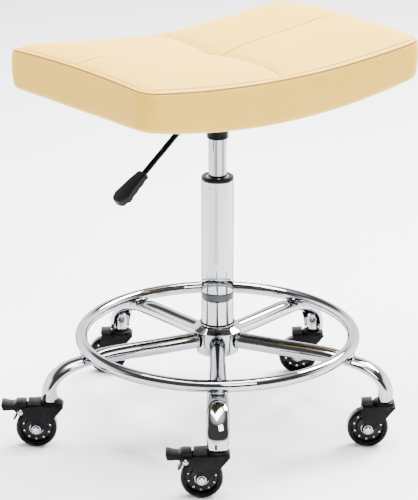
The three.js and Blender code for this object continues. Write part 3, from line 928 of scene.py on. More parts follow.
    def make_stem(self) -> bpy.types.Object:
        """Makes the caster's stem with its domed hexagon head."""
        shank = turned("stem_pattern", [(0, 68.6), (5, 68.6), (5, 97.2), (0, 97.2)], 32)
        head = turned("stem_head", [(0, 97.3), (6.9, 97.3), (7.3, 98), (7.3, 100.8), (6.4, 102.6), (3, 103.7),
                      (0, 103.9)], 6, 20)
        washer = turned("stem_washer", [(5.0, 96.9), (7.6, 96.9), (7.6, 97.4), (5.0, 97.4), (5.0, 96.9)], 40)
        add_bevel(head, 0.35)
        return joined("stem_pattern", [shank, head, washer])


@dataclass
class GasLift:
    """Bush, outer column, guide bush and the sliding stem."""

    radius: float = 25.0
    top: float = 403.0
    stem: float = 14.0

    def build(self) -> None:
        """Makes the gas lift's visible pieces."""
        self.build_reducer()
        self.build_column()
        self.build_guide()
        self.build_stem()
        for node in ("thrust_bearing", "piston_rod"):
            Slot.ZINC.dress(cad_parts[node])
        Slot.NUT.dress(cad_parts["release_button"])

    def build_reducer(self) -> None:
        """Makes the bush between the hub and the column."""
        outline = [(17.2, 140), (21.1, 140), (21.1, 212.2), (24.6, 212.2), (25, 212.7), (25, 222.2),
                   (24.6, 222.7), (18.4, 222.7), (17.2, 140)]
        Maker.finish(turned("reducer_flange", outline, 72), Slot.SMOKE, "base", ["reducer_bush"])

    def build_column(self) -> None:
        """Makes the outer column, with two round marks pressed in under its rim."""
        r, top = self.radius, self.top
        outline = [(5.4, 134), (16.6, 134), (18, 222.8), (23.2, 222.9)]
        outline += arc((r - 1.6, 224.6), 1.6, -90, 0, 5)
        outline += [(r, 300), (r, top - 0.6), (r - 0.5, top), (23.4, top), (23.4, 226), (16.2, 225),
                    (14.6, 138), (5.4, 138), (5.4, 134)]
        column = turned("column_tube", outline, 96)
        for azimuth in (-118, -97):
            cut(column, self.make_dimple(math.radians(azimuth)))
        smooth(column, 35)
        Maker.finish(column, Slot.CHROME, "base", ["outer_column"])

    def make_dimple(self, azimuth: float) -> bpy.types.Object:
        """Makes the ball that presses one mark into the column, at an azimuth in radians."""
        deselect()
        bpy.ops.mesh.primitive_uv_sphere_add(segments=16, ring_count=8, radius=1.5 * MM)
        reach = self.radius + 0.7
        place = Vector((math.cos(azimuth) * reach, math.sin(azimuth) * reach, 394)) * MM
        return moved(bpy.context.object, Matrix.Translation(place))

    def build_guide(self) -> None:
        """Makes the guide bush with its rim, and the wiper ring inside it."""
        outline = [(14.25, 340), (23.1, 340), (23.1, 403.3), (24.5, 403.3), (24.8, 403.8), (24.8, 406.6)]
        outline += arc((23.3, 406.6), 1.5, 0, 90, 4)
        outline += [(18.8, 408.1), (18, 407.4), (17.8, 406.6), (14.25, 406.4), (14.25, 340)]
        Maker.finish(turned("guide_bush_rim", outline, 72), Slot.NYLON, "base", ["guide_bush"])
        wiper = [(14.3, 406.7), (17.5, 406.7), (17.3, 407.6), (14.9, 407.8), (14.3, 407.4), (14.3, 406.7)]
        Maker.finish(turned("guide_wiper_ring", wiper, 64), Slot.ZINC, "base")

    def build_stem(self) -> None:
        """Makes the thin stem that slides in the column and carries the seat."""
        s = self.stem
        outline = [(6, 268), (s - 1, 268), (s, 269), (s, 470), (13.2, 498), (12.2, 499), (4.4, 499),
                   (4.4, 480), (0, 480)]
        Maker.finish(turned("stem_tube", outline, 64), Slot.CHROME, "seat", ["pressure_tube"])


@dataclass
class Caster:
    """One twin-plate caster, drawn with its swivel axis at x = 0 and its wheel towards -X."""

    trail: float = 23.5
    wheel_radius: float = 31.4
    gap: float = 12.2
    plate: float = 3.0
    pivot: tuple = (-47.0, 59.6)
    hole_count: int = 11
    hole_circle: float = 20.6

    def build(self, name: str, place: Matrix, braked: bool) -> None:
        """Makes the pieces of one caster.

        Args:
            name: The leg's name.
            place: Where its swivel axis stands.
            braked: Whether it has a foot brake.
        """
        body, wheel = f"caster_{name}", f"wheel_{name}"
        Maker.finish(moved(self.make_fork(name, braked), place), Slot.PAINT, body, [f"caster_{name}_fork"])
        Maker.finish(moved(self.make_block(name, braked), place), Slot.GRIP, body)
        Maker.finish(moved(self.make_axle(name), place), Slot.ZINC, body, [f"caster_{name}_axle"])
        Maker.finish(moved(self.make_core(name), place), Slot.CORE, wheel, [f"caster_{name}_rim"])
        Maker.finish(moved(self.make_tyre(name), place), Slot.TYRE, wheel, [f"caster_{name}_tyre"])
        Maker.finish(moved(self.make_dust_caps(name), place), Slot.ZINC, wheel)
        if braked:
            pedal = moved(self.make_pedal(name), place)
            Maker.finish(pedal, Slot.NYLON, f"brake_{name}", [f"caster_{name}_brake_pedal"])
            Maker.finish(moved(self.make_shoe(name), place), Slot.PAINT, f"brake_{name}")
            Maker.finish(moved(self.make_pin(name), place), Slot.ZINC, body, [f"caster_{name}_pedal_pin"])

    def plate_outline(self, braked: bool) -> list:
        """The outline of a fork plate, from its front corner round by the axle."""
        axle = (-self.trail, self.wheel_radius)
        if braked:
            back, radii = [(-51.6, 66.4), (-52.8, 60), (-50.6, 54.6), (-40, 53.2)], [2.5, 4, 3, 8]
        else:
            back, radii = [(-33.4, 66.4), (-33.4, 56)], [2, 10]
        corners = [(18.3, 66.4)] + back + [(-31.6, 43)]
        outline = rounded(corners + [(axle[0] - 4, 34), (4.5, 49.7)], [2.5] + radii + [9, 0, 1.5])
        low = next(i for i, p in enumerate(outline) if p[1] == 34)
        foot = arc(axle, 8.0, 175, 330, 12)
        return outline[:low] + foot + outline[low + 1:]

    def make_fork(self, name: str, braked: bool) -> bpy.types.Object:
        """Makes the fork: two plates, a crown between them and the stepped swivel dome."""
        outer = self.gap + self.plate
        outline = self.plate_outline(braked)
        near = plate("fork_near", outline, -outer, -self.gap, 0.8)
        far = plate("fork_far", outline, self.gap, outer, 0.8)
        end = -35 if braked else -32.8
        crown = plate("fork_crown", [(18, 64.4), (18, 68.4), (end, 68.4), (end, 64.4)], -outer, outer, 1.2)
        steps = [(5.5, 64.6), (17.4, 64.6), (17.7, 66.2), (17.7, 69.4), (17.2, 70.2), (15.6, 70.5)]
        steps += [(15.4, 71.1), (16.6, 71.5), (16.9, 72.4), (16.4, 73.4), (13.9, 74.9), (10.5, 75.5)]
        steps += [(5.5, 75.6), (5.5, 64.6)]
        dome = turned("swivel_dome", steps, 56, 28)
        return joined(f"fork_pressing_{name}", [crown, near, far, dome])

    def make_block(self, name: str, braked: bool) -> bpy.types.Object:
        """Makes the ribbed grey block behind the swivel dome."""
        start, end = (-36, -15.5) if braked else (-33.6, -17)
        body = plate("seat_block", [(start, 68.5), (start, 74.8), (end, 76), (end, 68.5)], -11, 11, 0.8)
        ribs = [body]
        for i in range(4):
            x = start + 2.2 + i * 3.1
            rib = [(x, 74.4), (x, 75.6), (x + 1.5, 75.6), (x + 1.5, 74.4)]
            ribs.append(plate(f"rib_{i}", rib, -9.5, 9.5, 0.3))
        return joined(f"brake_seat_block_{name}", ribs)

    def make_axle(self, name: str) -> bpy.types.Object:
        """Makes the axle with a domed head on each side and washers under them."""
        head = [(0, 4.1), (1.6, 4.1), (2.3, 4.6), (4.4, 4.2), (5.5, 2.6), (5.7, 0.6), (5.7, 0.0), (0, 0)]
        parts = [peg("axle_bar", 3.4, -16, 16, (-self.trail, self.wheel_radius))]
        for side in (-1, 1):
            cap = turned("axle_head", head, 40, 40)
            washer = turned("axle_washer", [(0, 0), (7.0, 0), (7.0, -0.5), (6.6, -0.7), (0, -0.7)], 40, 30)
            for part in (cap, washer):
                lean = Matrix.Rotation(math.radians(-90 * side), 4, "X")
                reach = Matrix.Translation(Vector((-self.trail, side * 15.9, self.wheel_radius)) * MM)
                parts.append(moved(part, reach @ lean))
        return joined(f"axle_bolt_{name}", parts)

    def about_axle(self) -> Matrix:
        """Takes a piece turned about Z to the axle's line."""
        place = Matrix.Translation(Vector((-self.trail, 0, self.wheel_radius)) * MM)
        return place @ Matrix.Rotation(math.radians(90), 4, "X")

    def make_core(self, name: str) -> bpy.types.Object:
        """Makes the wheel's black core with its ring of lightening holes."""
        outline = [(3.8, -11.2), (7.6, -11.2), (8.2, -10.8), (8.6, -7.6), (13.6, -7.0), (16.8, -6.2),
                   (18.0, -2.4), (23.2, -2.4), (24.2, -8.8), (25.0, -9.6), (25.8, -9.4), (26, -8.6)]
        mirrored = [(r, -z) for r, z in reversed(outline)]
        core = turned(f"wheel_core_{name}", outline + mirrored + [outline[0]], 66, 30)
        tools = []
        for i in range(self.hole_count):
            angle = 2 * math.pi * (i + 0.15) / self.hole_count
            place = (self.hole_circle * math.cos(angle), self.hole_circle * math.sin(angle), 0)
            deselect()
            bpy.ops.mesh.primitive_cylinder_add(vertices=20, radius=1.55 * MM, depth=30 * MM,
                                                location=Vector(place) * MM)
            tools.append(bpy.context.object)
        holes = joined("hole_tools", tools)
        cut(core, holes)
        smooth(core, 30)
        return moved(core, self.about_axle())

    def make_tyre(self, name: str) -> bpy.types.Object:
        """Makes the tyre with a rounded tread and two fine lines in its wall."""
        wall = [(26.1, 9.2), (26.3, 10.3), (27.3, 10.9), (28, 10.8), (28.2, 10.5), (28.5, 10.7), (29.3, 10.2)]
        shoulder = arc((26.6, 5.8), 4.8, 60, 12, 5)
        side = wall + shoulder[1:] + [(self.wheel_radius, 3.4)]
        outline = side + [(r, -z) for r, z in reversed(side)] + [side[0]]
        return moved(turned(f"tyre_ring_{name}", outline, 72, 50), self.about_axle())

    def make_dust_caps(self, name: str) -> bpy.types.Object:
        """Makes the bright bearing covers on both faces of the wheel."""
        caps = []
        for side in (-1, 1):
            outline = [(9.2, 10.2), (9.7, 10.7), (10.4, 10.4), (11, 9.6), (11, 7.2), (9.2, 7.2), (9.2, 10.2)]
            caps.append(turned("cap", [(r, side * z) for r, z in outline], 48, 30))
        return moved(joined(f"bearing_cover_{name}", caps), self.about_axle())

    def make_pedal(self, name: str) -> bpy.types.Object:
        """Makes the foot pedal with its hump, waist and hooked tip."""
        x, z = self.pivot
        outline = rounded([(x + 8.8, z + 5.6), (x + 8.8, z + 14.4), (x + 1, z + 15.1), (x - 6.5, z + 14.3),
                           (x - 10.6, z + 10.6), (x - 17, z + 11), (x - 28, z + 13.2), (x - 29.8, z + 11.6),
                           (x - 27.4, z + 2.6), (x - 23, z + 1.8), (x - 10, z + 2.2), (x - 6.6, z - 3.6),
                           (x - 2.6, z - 4.2), (x + 4.4, z - 1)],
                          [2, 2, 4, 4, 3, 6, 2, 2, 2, 3, 3, 1, 3, 3])
        pedal = plate(f"brake_pedal_{name}", outline, -11.6, 11.6, 1.4)

        def flare(co: Vector) -> Vector:
            """Widens the tread of the pedal a little towards its tip."""
            reach = min(max((-55 * MM - co.x) / (20 * MM), 0), 1)
            co.y *= 1 + 0.16 * reach
            return co

        reshape(pedal, flare)
        cut(pedal, peg("pin_hole", 2.5, -20, 20, (x, z)))
        smooth(pedal, 35)
        return pedal

    def make_shoe(self, name: str) -> bpy.types.Object:
        """Makes the steel leaf under the pedal that presses on the tread."""
        x, z = self.pivot
        outline = [(x - 6.4, z - 3.4), (x - 3.4, z - 3.9), (x - 7.6, z - 12.8), (x - 10.6, z - 15.4),
                   (x - 12.2, z - 14.4), (x - 9.6, z - 11.4)]
        return plate(f"brake_leaf_{name}", outline, -9, 9, 0.5)

    def make_pin(self, name: str) -> bpy.types.Object:
        """Makes the pedal's pin with a domed head on each side."""
        x, z = self.pivot
        parts = [peg("pin_bar", 2.2, -15.4, 15.4, (x, z))]
        outline = [(0, 2.0), (1.2, 2.0), (1.6, 2.4), (3.4, 1.9), (4.3, 0.8), (4.4, 0), (0, 0)]
        for side in (-1, 1):
            head = turned("pin_head", outline, 32, 40)
            lean = Matrix.Rotation(math.radians(-90 * side), 4, "X")
            parts.append(moved(head, Matrix.Translation(Vector((x, side * 15.2, z)) * MM) @ lean))
        return joined(f"pedal_rivet_{name}", parts)


@dataclass
class Lever:
    """The bent release rod and its paddle grip, in the vertical plane through the seat's long axis."""

    turn: float = math.radians(40)
    height: float = 509.0
    radius: float = 4.4
    bend_at: float = 54.0
    drop: float = 38.0
    grip_drop: float = 35.0
    grip_start: float = 112.0
    grip_length: float = 62.0
    narrow: float = 9.0
    wide: float = 16.2
    thick: float = 6.2

    def along(self, start: Vector, distance: float, drop: float) -> Vector:
        """A point down the lever from another."""
        a = math.radians(drop)
        return start + Vector((-math.cos(a), 0, -math.sin(a))) * distance

    def ring(self, middle: Vector, drop: float, size: Callable[[float], tuple], sides: int) -> list:
        """A ring of points across the lever; size gives its reach across and up at an angle."""
        a = math.radians(drop)
        upward = Vector((-math.sin(a), 0, math.cos(a)))
        ring = []
        for i in range(sides):
            across, raised = size(2 * math.pi * i / sides)
            ring.append((middle + upward * raised + Vector((0, across, 0))) * MM)
        return ring

    def build(self) -> None:
        """Makes the rod and the grip."""
        spin = Matrix.Rotation(self.turn, 4, "Z")
        Maker.finish(moved(self.make_rod(), spin), Slot.PAINT, "lever", ["lever_rod"])
        Maker.finish(moved(self.make_grip(), spin), Slot.GRIP, "lever", ["lever_grip"])

    def make_rod(self) -> bpy.types.Object:
        """Makes the rod with its bend."""
        corner = Vector((-self.bend_at, 0, self.height))
        reach = 11.0
        bend_steps = 12
        stations = [(Vector((5, 0, self.height)), 0), (Vector((4, 0, self.height)), 0)]
        for i in range(bend_steps + 1):
            t = i / bend_steps
            start, end = corner + Vector((reach, 0, 0)), self.along(corner, reach, self.drop)
            middle = start * (1 - t) ** 2 + corner * 2 * t * (1 - t) + end * t**2
            stations.append((middle, self.drop * t))
        stations.append((self.along(corner, self.grip_start + 20, self.drop), self.drop))
        sizes = [0.8] + [1.0] * (len(stations) - 1)
        rings = []
        for (middle, drop), share in zip(stations, sizes):
            r = self.radius * share
            rings.append(self.ring(middle, drop, lambda a, r=r: (r * math.cos(a), r * math.sin(a)), 24))
        rod = skin("release_rod", rings)
        smooth(rod, 40)
        return rod

    def make_grip(self) -> bpy.types.Object:
        """Makes the paddle grip: a tapered plate with soft edges, scalloped underneath for the fingers."""
        length = self.grip_length
        plan = [(0, self.narrow), (length * 0.5, (self.narrow + self.wide) / 2)]
        plan += [(length - 13, self.wide)] + arc((length - 12.4, 2.0), 12.4, 78, 0, 7)
        mirrored = [(x, -y) for x, y in reversed(plan)]
        grip = plate("paddle_grip", plan + mirrored, -self.thick, self.thick)
        apply_modifier(grip, "BEVEL", {"width": 2.2 * MM, "segments": 4, "limit_method": "ANGLE",
                                       "angle_limit": math.radians(50)})
        start = self.along(Vector((-self.bend_at, 0, self.height)), self.grip_start, self.drop)
        slope = math.radians(self.grip_drop)

        def settle(co: Vector) -> Vector:
            """Crowns the top, scallops the underside and lays the grip along the lever."""
            out, across, raised = co.x, co.z, co.y
            share = out / (length * MM)
            if raised > 0:
                raised += 1.2 * MM * (1 - (across / (self.wide * MM)) ** 2) - 1.0 * MM * (2 * share - 1) ** 2
            elif 0.12 < share < 0.92:
                raised += 1.3 * MM * math.sin(share * 4 * math.pi) ** 2
            raised *= 0.86 + 0.14 * min(share * 3, 1)
            return Vector((start.x * MM - out * math.cos(slope) - raised * math.sin(slope), across,
                           start.z * MM - out * math.sin(slope) + raised * math.cos(slope)))

        subdivide(grip, 2)
        reshape(grip, settle)
        smooth(grip, 50)
        return grip


@dataclass
class Seat:
    """The padded seat with its sewn cover, underside and mounting plate."""

    length: float = 540.0
    width: float = 325.0
    corner: float = 24.0
    turn: float = math.radians(40)
    underside: float = 526.5
    edge: float = 593.0
    edge_rise: float = 19.6
    underside_rise: float = 29.5
    lean: float = 5.6
    arch: float = 6.0
    swell: float = 21.4
    reach: float = 65.0
    middle_dip: float = 11.4
    seam_dip: float = 10.0
    plate_top: float = 524.9
    most_blown: float = 3.0
    blow_frames: int = 20
    screws: tuple = ((46, 61), (-46, 61), (-46, -61), (46, -61))

    def build(self) -> None:
        """Makes the seat's visible pieces."""
        spin = Matrix.Rotation(self.turn, 4, "Z")
        pad = moved(self.make_pad(), spin)
        Maker.finish(pad, Slot.VINYL, "seat", ["seat_cover"])
        cloth = moved(self.make_dust_cloth(), spin)
        Maker.finish(cloth, Slot.CLOTH, "seat", ["dust_cloth"])
        Maker.finish(moved(self.make_staples(), spin), Slot.ZINC, "seat")
        Maker.finish(moved(self.make_plate(), spin), Slot.PAINT, "seat", ["seat_plate"])
        for i, place in enumerate(self.screws):
            screw = moved(self.make_screw(i, place), spin)
            Maker.finish(screw, Slot.ZINC, "seat", [f"seat_screw_{i + 1}"])
        Maker.finish(moved(self.make_foam(), spin), Slot.FOAM, "seat", ["seat_foam"])
        Slot.BOARD.dress(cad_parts["seat_board"])

    def bow(self, u: float, rise: float) -> float:
        """How far a line along the seat lies above its height at mid length."""
        share = u / (self.length / 2)
        return rise * share**2 - self.lean * share

    def under(self, lift: float) -> Callable[[float, float], float]:
        """Heights along the underside, lifted."""
        return lambda u, v: self.underside + lift + self.bow(u, self.underside_rise)

    def seam(self, lift: float) -> Callable[[float, float], float]:
        """Heights along the top seam, lifted."""
        def height(u: float, v: float) -> float:
            """The seam's height at a place; its ends arch up between the corners."""
            arch = self.arch * abs(u / (self.length / 2)) ** 4 * max(1 - (v / (self.width / 2)) ** 2, 0)
            return self.edge + lift + self.bow(u, self.edge_rise) + arch
        return height

    def top(self, lift: float) -> Callable[[float, float], float]:
        """Heights over the padded top, lifted: it swells from its seam and dips along the sewn cross."""
        def height(u: float, v: float) -> float:
            """The top's height at a place."""
            low_u = max(1 - (self.length / 2 - abs(u)) / self.reach, 0) ** 2
            low_v = max(1 - (self.width / 2 - abs(v)) / self.reach, 0) ** 2
            swell = max(1 - (low_u**2.5 + low_v**2.5) ** 0.4, 0)
            dip = self.middle_dip * math.exp(-abs(u) / 52)
            dip += self.seam_dip * math.exp(-abs(u) / 60 - abs(v) / 34)
            return self.seam(lift)(u, v) + swell * (self.swell - dip)
        return height

    def ring(self, inset: float, height: Callable[[float, float], float]) -> list:
        """A rounded rectangle of points inside the seat's edge, closest together by the sewn lines.

        Args:
            inset: How far it lies inside the seat's edge.
            height: Gives the height at each (u, v).

        Returns:
            The points, starting in the middle of the +u end.
        """
        half_length, half_width = self.length / 2 - inset, self.width / 2 - inset
        radius = min(max(self.corner - inset * 0.75, 3.0), half_width * 0.8)
        quarter = []
        for share in (0.0, 0.015, 0.04, 0.08, 0.14, 0.22, 0.32, 0.42, 0.52, 0.62, 0.72, 0.82, 0.92):
            quarter.append((half_length, share * (half_width - radius)))
        quarter += arc((half_length - radius, half_width - radius), radius, 0, 90, 8)
        for share in (0.95, 0.88, 0.81, 0.74, 0.67, 0.6, 0.53, 0.46, 0.39, 0.32, 0.25, 0.19, 0.14, 0.095,
                      0.06, 0.035, 0.018, 0.007):
            quarter.append((share * (half_length - radius), half_width))
        upper = quarter + [(0.0, half_width)] + [(-u, v) for u, v in reversed(quarter)]
        lower = [(u, -v) for u, v in reversed(upper[1:-1])]
        return [Vector((u, v, height(u, v))) * MM for u, v in upper + lower]

    def make_pad(self) -> bpy.types.Object:
        """Makes the sewn pad: a closed shell that is blown up a little against its seams."""
        middle = self.width / 2 - 1.2
        rings = [self.ring(inset, self.under(0.5)) for inset in (middle, 130, 100, 70, 45, 30, 18, 12)]
        for inset, up in ((8, 0.6), (4.4, 1.6), (1.8, 3.8), (0.5, 7.2), (0, 11.5)):
            rings.append(self.ring(inset, self.under(up)))
        foot, rim = self.under(11.5), self.seam(-1.2)
        side_rings = 13
        for i in range(1, side_rings):
            t = i / side_rings
            bulge = -1.6 * math.sin(math.pi * t)
            rings.append(self.ring(bulge, lambda u, v, t=t: foot(u, v) * (1 - t) + rim(u, v) * t))
        rings.append(self.ring(0.3, self.seam(-0.9)))
        welt = ((1.3, -0.4), (1.0, 0.4), (2.2, 0.9), (4.2, 0.9), (6.4, 0.3), (7.5, -0.7), (8.6, 0.2))
        rings += [self.ring(inset, self.top(up)) for inset, up in welt]
        insets = [8.6 + 5.6 * i for i in range(1, 25)] + [147, 151, 154, 156.4, 158.4, 160, middle]
        rings += [self.ring(inset, self.top(0)) for inset in insets]
        pad = skin("sewn_seat_pad", rings, Ends.RUNGS)
        self.inflate(pad)
        self.draw_seams(pad)
        apply_modifier(pad, "SUBSURF", {"levels": 1, "render_levels": 1})
        smooth(pad, 60)
        return pad

    def make_foam(self) -> bpy.types.Object:
        """Makes the foam block inside the pad, a little smaller all round."""
        middle = self.width / 2 - 1.2
        rings = [self.ring(inset, self.under(14)) for inset in (middle, 120, 60, 7)]
        rings.append(self.ring(5, self.seam(-6)))
        rings += [self.ring(inset, self.top(-7)) for inset in (7, 16, 30, 50, 75, 105, 135, 150, 157, middle)]
        foam = skin("foam_core", rings, Ends.RUNGS)
        smooth(foam, 50)
        return foam

    def top_share(self, co: Vector) -> float:
        """0 on the sides and the rim, 1 on the inner top of the seat."""
        u, v = co.x / MM, co.y / MM
        inside = min(self.length / 2 - abs(u), self.width / 2 - abs(v))
        if co.z / MM < self.seam(-1.5)(u, v):
            return 0.0
        return min(max((inside - 9.0) / 12.0, 0), 1)

    def inflate(self, pad: bpy.types.Object) -> None:
        """Runs a short cloth simulation: air pressure inside, sewn lines and underside held."""
        held = pad.vertex_groups.new(name="held")
        for vertex in pad.data.vertices:
            u, v = abs(vertex.co.x) / MM, abs(vertex.co.y) / MM
            seam = max(1 - min(u, v) / 9.0, 0)
            grip = 1 - self.top_share(vertex.co) * (1 - seam * 0.9)
            held.add([vertex.index], grip, "REPLACE")
        before = [vertex.co.copy() for vertex in pad.data.vertices]
        focus(pad)
        cloth = pad.modifiers.new("Cloth", "CLOTH")
        settings = cloth.settings
        settings.quality = 4
        settings.mass = 0.4
        settings.use_pressure = True
        settings.uniform_pressure_force = 4.0
        settings.vertex_group_mass = "held"
        settings.pin_stiffness = 2.0
        settings.tension_stiffness = 18
        settings.compression_stiffness = 18
        settings.bending_stiffness = 4.0
        settings.effector_weights.gravity = 0
        cloth.collision_settings.use_collision = False
        scene = bpy.context.scene
        for number in range(1, self.blow_frames + 1):
            scene.frame_set(number)
        shape = pad.evaluated_get(bpy.context.evaluated_depsgraph_get()).data
        after = [vertex.co.copy() for vertex in shape.vertices]
        pad.modifiers.remove(cloth)
        pad.vertex_groups.clear()
        scene.frame_set(1)
        limit = self.most_blown * MM
        for vertex, old, new in zip(pad.data.vertices, before, after):
            shift = new - old
            if shift.length > limit:
                shift *= limit / shift.length
            vertex.co = old + shift
        tallest = max((new - old).length for old, new in zip(before, after)) / MM
        LOG.info("pad blown up: largest move %.1f mm before the cap", tallest)

    def draw_seams(self, pad: bpy.types.Object) -> None:
        """Pulls the two sewn lines down into narrow grooves."""
        def rule(co: Vector) -> Vector:
            """Lowers one point of the top where it is near a sewn line."""
            share = self.top_share(co)
            u, v = co.x / MM, co.y / MM
            groove = max(bell(u, 2.6), bell(v, 2.6))
            co.z -= (1.7 * groove + 3.4 * bell(u, 11) + 1.2 * bell(v, 9)) * MM * share
            return co

        reshape(pad, rule)

    def make_dust_cloth(self) -> bpy.types.Object:
        """Makes the cloth that covers the underside, slightly puckered along its edge."""
        rings = []
        for inset in (20, 22, 26, 34, 50, 80, 120, 150, 161):
            ring = self.ring(inset, self.under(-0.6))
            for i, point in enumerate(ring):
                if inset < 40:
                    point.z += 0.35 * MM * math.sin(i * 1.9) * (1 if inset < 24 else 0.4)
            rings.append(ring)
        cloth = skin("dust_cloth_sheet", rings, Ends.LAST_RUNGS)
        apply_modifier(cloth, "SOLIDIFY", {"thickness": 0.5 * MM, "offset": 0})
        smooth(cloth, 60)
        return cloth

    def make_staples(self) -> bpy.types.Object:
        """Makes the staples that hold the dust cloth, one after another along its edge."""
        spots = [point for i, point in enumerate(self.ring(25, self.under(-1.0))) if i % 3 == 1]
        parts = []
        for i, spot in enumerate(spots):
            deselect()
            bpy.ops.mesh.primitive_cube_add(size=1)
            staple = bpy.context.object
            staple.name = f"staple_{i}"
            along_side = abs(abs(spot.y) / MM - (self.width / 2 - 25)) < 2
            size = (10, 0.7, 0.6) if along_side else (0.7, 10, 0.6)
            share = spot.x / MM / (self.length / 2)
            slope = math.atan((2 * self.underside_rise * share - self.lean) / (self.length / 2))
            tilt = Matrix.Rotation(-slope, 4, "Y")
            wire = Matrix.Diagonal((*[side * MM for side in size], 1))
            moved(staple, Matrix.Translation(spot) @ tilt @ wire)
            parts.append(staple)
        staples = joined("cloth_staples", parts)
        add_bevel(staples, 0.15, 1)
        return staples

    def make_plate(self) -> bpy.types.Object:
        """Makes the pressed seat plate with its ribs and the socket tube."""
        deselect()
        bpy.ops.mesh.primitive_cube_add(size=1)
        base = bpy.context.object
        bottom = self.plate_top - 2.5
        size = Matrix.Diagonal((120 * MM, 150 * MM, 2.5 * MM, 1))
        moved(base, Matrix.Translation((0, 0, (bottom + 1.25) * MM)) @ size)
        add_bevel(base, 0.8)
        wall = [(14.3, 468), (15.7, 468), (16.5, 468.9), (16.5, 487.6), (17.2, 489.4), (23.2, 493.4)]
        wall += [(24, 494.6), (24, bottom + 0.4), (14.3, bottom + 0.4), (14.3, 468)]
        socket = turned("socket", wall, 56, 30)
        ribs = []
        for side in (-1, 1):
            outline = [(-50, bottom + 0.4), (-24, 505), (24, 505), (50, bottom + 0.4)]
            ribs.append(plate("rib", outline, side * 27 - 1.2, side * 27 + 1.2, 0.6))
        slot = [(-27, 503.6), (-27, bottom - 1.2), (9, bottom - 1.2), (9, 503.6)]
        cut(socket, plate("slot", slot, -4.4, 4.4))
        body = joined("seat_plate_pressing", [base, socket, *ribs])
        smooth(body, 35)
        return body

    def make_screw(self, index: int, place: tuple) -> bpy.types.Object:
        """Makes a hexagon screw with its washer under the plate."""
        top = self.plate_top - 2.6
        outline = [(0, top - 5), (4.6, top - 5), (5.5, top - 4.3), (5.5, top - 1), (0, top - 1)]
        head = turned("screw_head", outline, 6, 20)
        washer = turned("screw_washer", [(0, top - 1), (7.2, top - 1), (7.2, top), (0, top)], 32, 30)
        add_bevel(head, 0.3)
        screw = joined(f"seat_bolt_{index + 1}", [head, washer])
        return moved(screw, Matrix.Translation(Vector((*place, 0)) * MM))


@dataclass(frozen=True)
class DarkCard:
    """A grey card on the floor for the chrome to reflect, out of the camera's sight."""

    azimuth: float
    near: float
    far: float
    width: float
    shade: float

    def lay(self) -> None:
        """Lays the card on the floor, its length pointing at the stool."""
        deselect()
        bpy.ops.mesh.primitive_plane_add(size=1)
        card = bpy.context.object
        card.name = f"grey_card_{self.azimuth % 360}_{round(self.near * 100)}"
        paint = Paint(f"paper_{card.name}")
        fibre = paint.noise(300, 2)
        light, dark = (self.shade * 1.1,) * 3, (self.shade * 0.9,) * 3
        paint.set(Base_Color=paint.blend(fibre, dark, light), Roughness=fibre * 0.1 + 0.8)
        card.data.materials.append(paint.material)
        size = Matrix.Diagonal((self.far - self.near, self.width, 1, 1))
        place = Matrix.Translation(((self.near + self.far) / 2, 0, 0.002)) @ size
        card.visible_camera = card.visible_diffuse = card.visible_shadow = False
        card.data.transform(Matrix.Rotation(math.radians(self.azimuth - 90), 4, "Z") @ place)


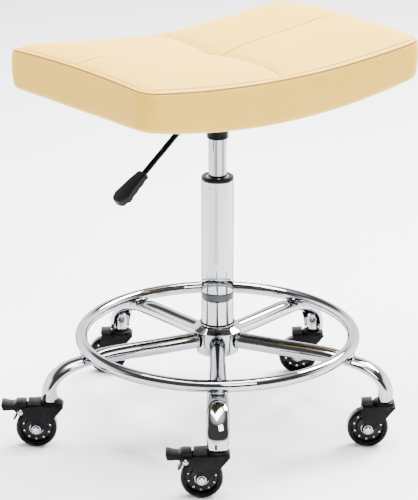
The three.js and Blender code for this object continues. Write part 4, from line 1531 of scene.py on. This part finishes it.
@dataclass
class Studio:
    """Pale floor, bright surroundings, soft lights, cards for the chrome to reflect, and the camera."""

    eye: tuple = (-0.01297, -3.5398, 1.5353)
    pitch: float = math.radians(90 - 19.406)
    lens: float = 176.45
    glow: float = 6.6
    cards: tuple = (
        DarkCard(-81, 0.43, 0.60, 0.05, 0.02), DarkCard(-5, 0.44, 0.60, 0.06, 0.02),
        DarkCard(66, 0.44, 0.60, 0.06, 0.03), DarkCard(-10, 0.66, 1.22, 0.44, 0.62),
        DarkCard(-144, 1.28, 1.80, 0.25, 0.10), DarkCard(-44, 1.28, 1.80, 0.40, 0.50),
        DarkCard(-18, 1.28, 1.80, 0.70, 0.25), DarkCard(74, 1.28, 1.80, 1.10, 0.35),
    )

    def build(self) -> None:
        """Makes the floor, the surroundings, the lights and the camera."""
        self.build_floor()
        self.build_surroundings()
        self.add_light("key_panel", (1.7, 1.5, 2.4), 1.4, 330)
        self.add_light("fill_panel", (1.0, -2.9, 2.8), 1.6, 90)
        self.add_light("top_panel", (-0.2, 0.2, 2.9), 2.2, 350)
        for card in self.cards:
            card.lay()
        camera = bpy.data.objects.new("camera", bpy.data.cameras.new("camera"))
        camera.location = self.eye
        camera.rotation_euler = Euler((self.pitch, 0, 0))
        camera.data.lens = self.lens
        camera.data.sensor_width = 36
        camera.data.clip_end = 50
        bpy.context.scene.collection.objects.link(camera)
        bpy.context.scene.camera = camera

    def build_floor(self) -> None:
        """Makes the pale floor."""
        deselect()
        bpy.ops.mesh.primitive_plane_add(size=30)
        floor = bpy.context.object
        floor.name = "pale_floor"
        paint = Paint("floor_paint")
        cloud = paint.noise(1.2, 2)
        paint.set(Base_Color=paint.blend(cloud, (0.93, 0.93, 0.93), (0.96, 0.96, 0.96)))
        paint.set(Roughness=cloud * 0.1 + 0.75)
        floor.data.materials.append(paint.material)

    def build_surroundings(self) -> None:
        """Makes the surroundings: a bright low wall behind, dark above it and behind the camera."""
        world = bpy.data.worlds.new("studio_world")
        bpy.context.scene.world = world
        world.use_nodes = True
        sketch = Sketch(world.node_tree)
        ways = sketch.add("ShaderNodeTexCoord").outputs["Generated"]
        split = sketch.add("ShaderNodeSeparateXYZ", None, {0: ways})
        behind, up = Signal(sketch, split.outputs[1]), Signal(sketch, split.outputs[2])
        height = up * 0.5 + 0.5
        far = {"stops": [(0.0, 0.9), (0.5, 0.9), (0.70, 0.6), (0.77, 0.03), (0.87, 0.03), (1.0, 0.4)]}
        near = {"stops": [(0.0, 0.9), (0.48, 0.6), (0.53, 0.02), (0.90, 0.02), (1.0, 0.4)]}
        walls = [sketch.add("ShaderNodeValToRGB", stops, {0: height}).outputs[0] for stops in (far, near)]
        background = world.node_tree.nodes["Background"]
        sketch.feed(background.inputs[0], sketch.blend(behind.above(-0.35, 0.35), walls[1], walls[0]))
        background.inputs[1].default_value = self.glow

    @staticmethod
    def add_light(name: str, place: Point, size: float, power: float) -> None:
        """Adds a square area light that looks at the stool."""
        light = bpy.data.lights.new(name, "AREA")
        light.size = size
        light.energy = power
        lamp = bpy.data.objects.new(name, light)
        lamp.location = place
        aim = Vector((0, 0, 0.3)) - Vector(place)
        lamp.rotation_euler = aim.to_track_quat("-Z", "Y").to_euler()
        bpy.context.scene.collection.objects.link(lamp)


def main() -> None:
    """Builds the stool and its studio, in order."""
    logging.basicConfig(level=logging.INFO, format="%(message)s")
    Studio().build()
    base = Base()
    base.build()
    GasLift().build()
    braked = {"front", "left"}
    caster = Caster()
    for name in base.names:
        caster.build(name, Matrix.Translation(base.corner(name)), name in braked)
    Lever().build()
    Seat().build()
    LOG.info("%d pieces made", Maker.made)


if __name__ == "__main__":
    main()
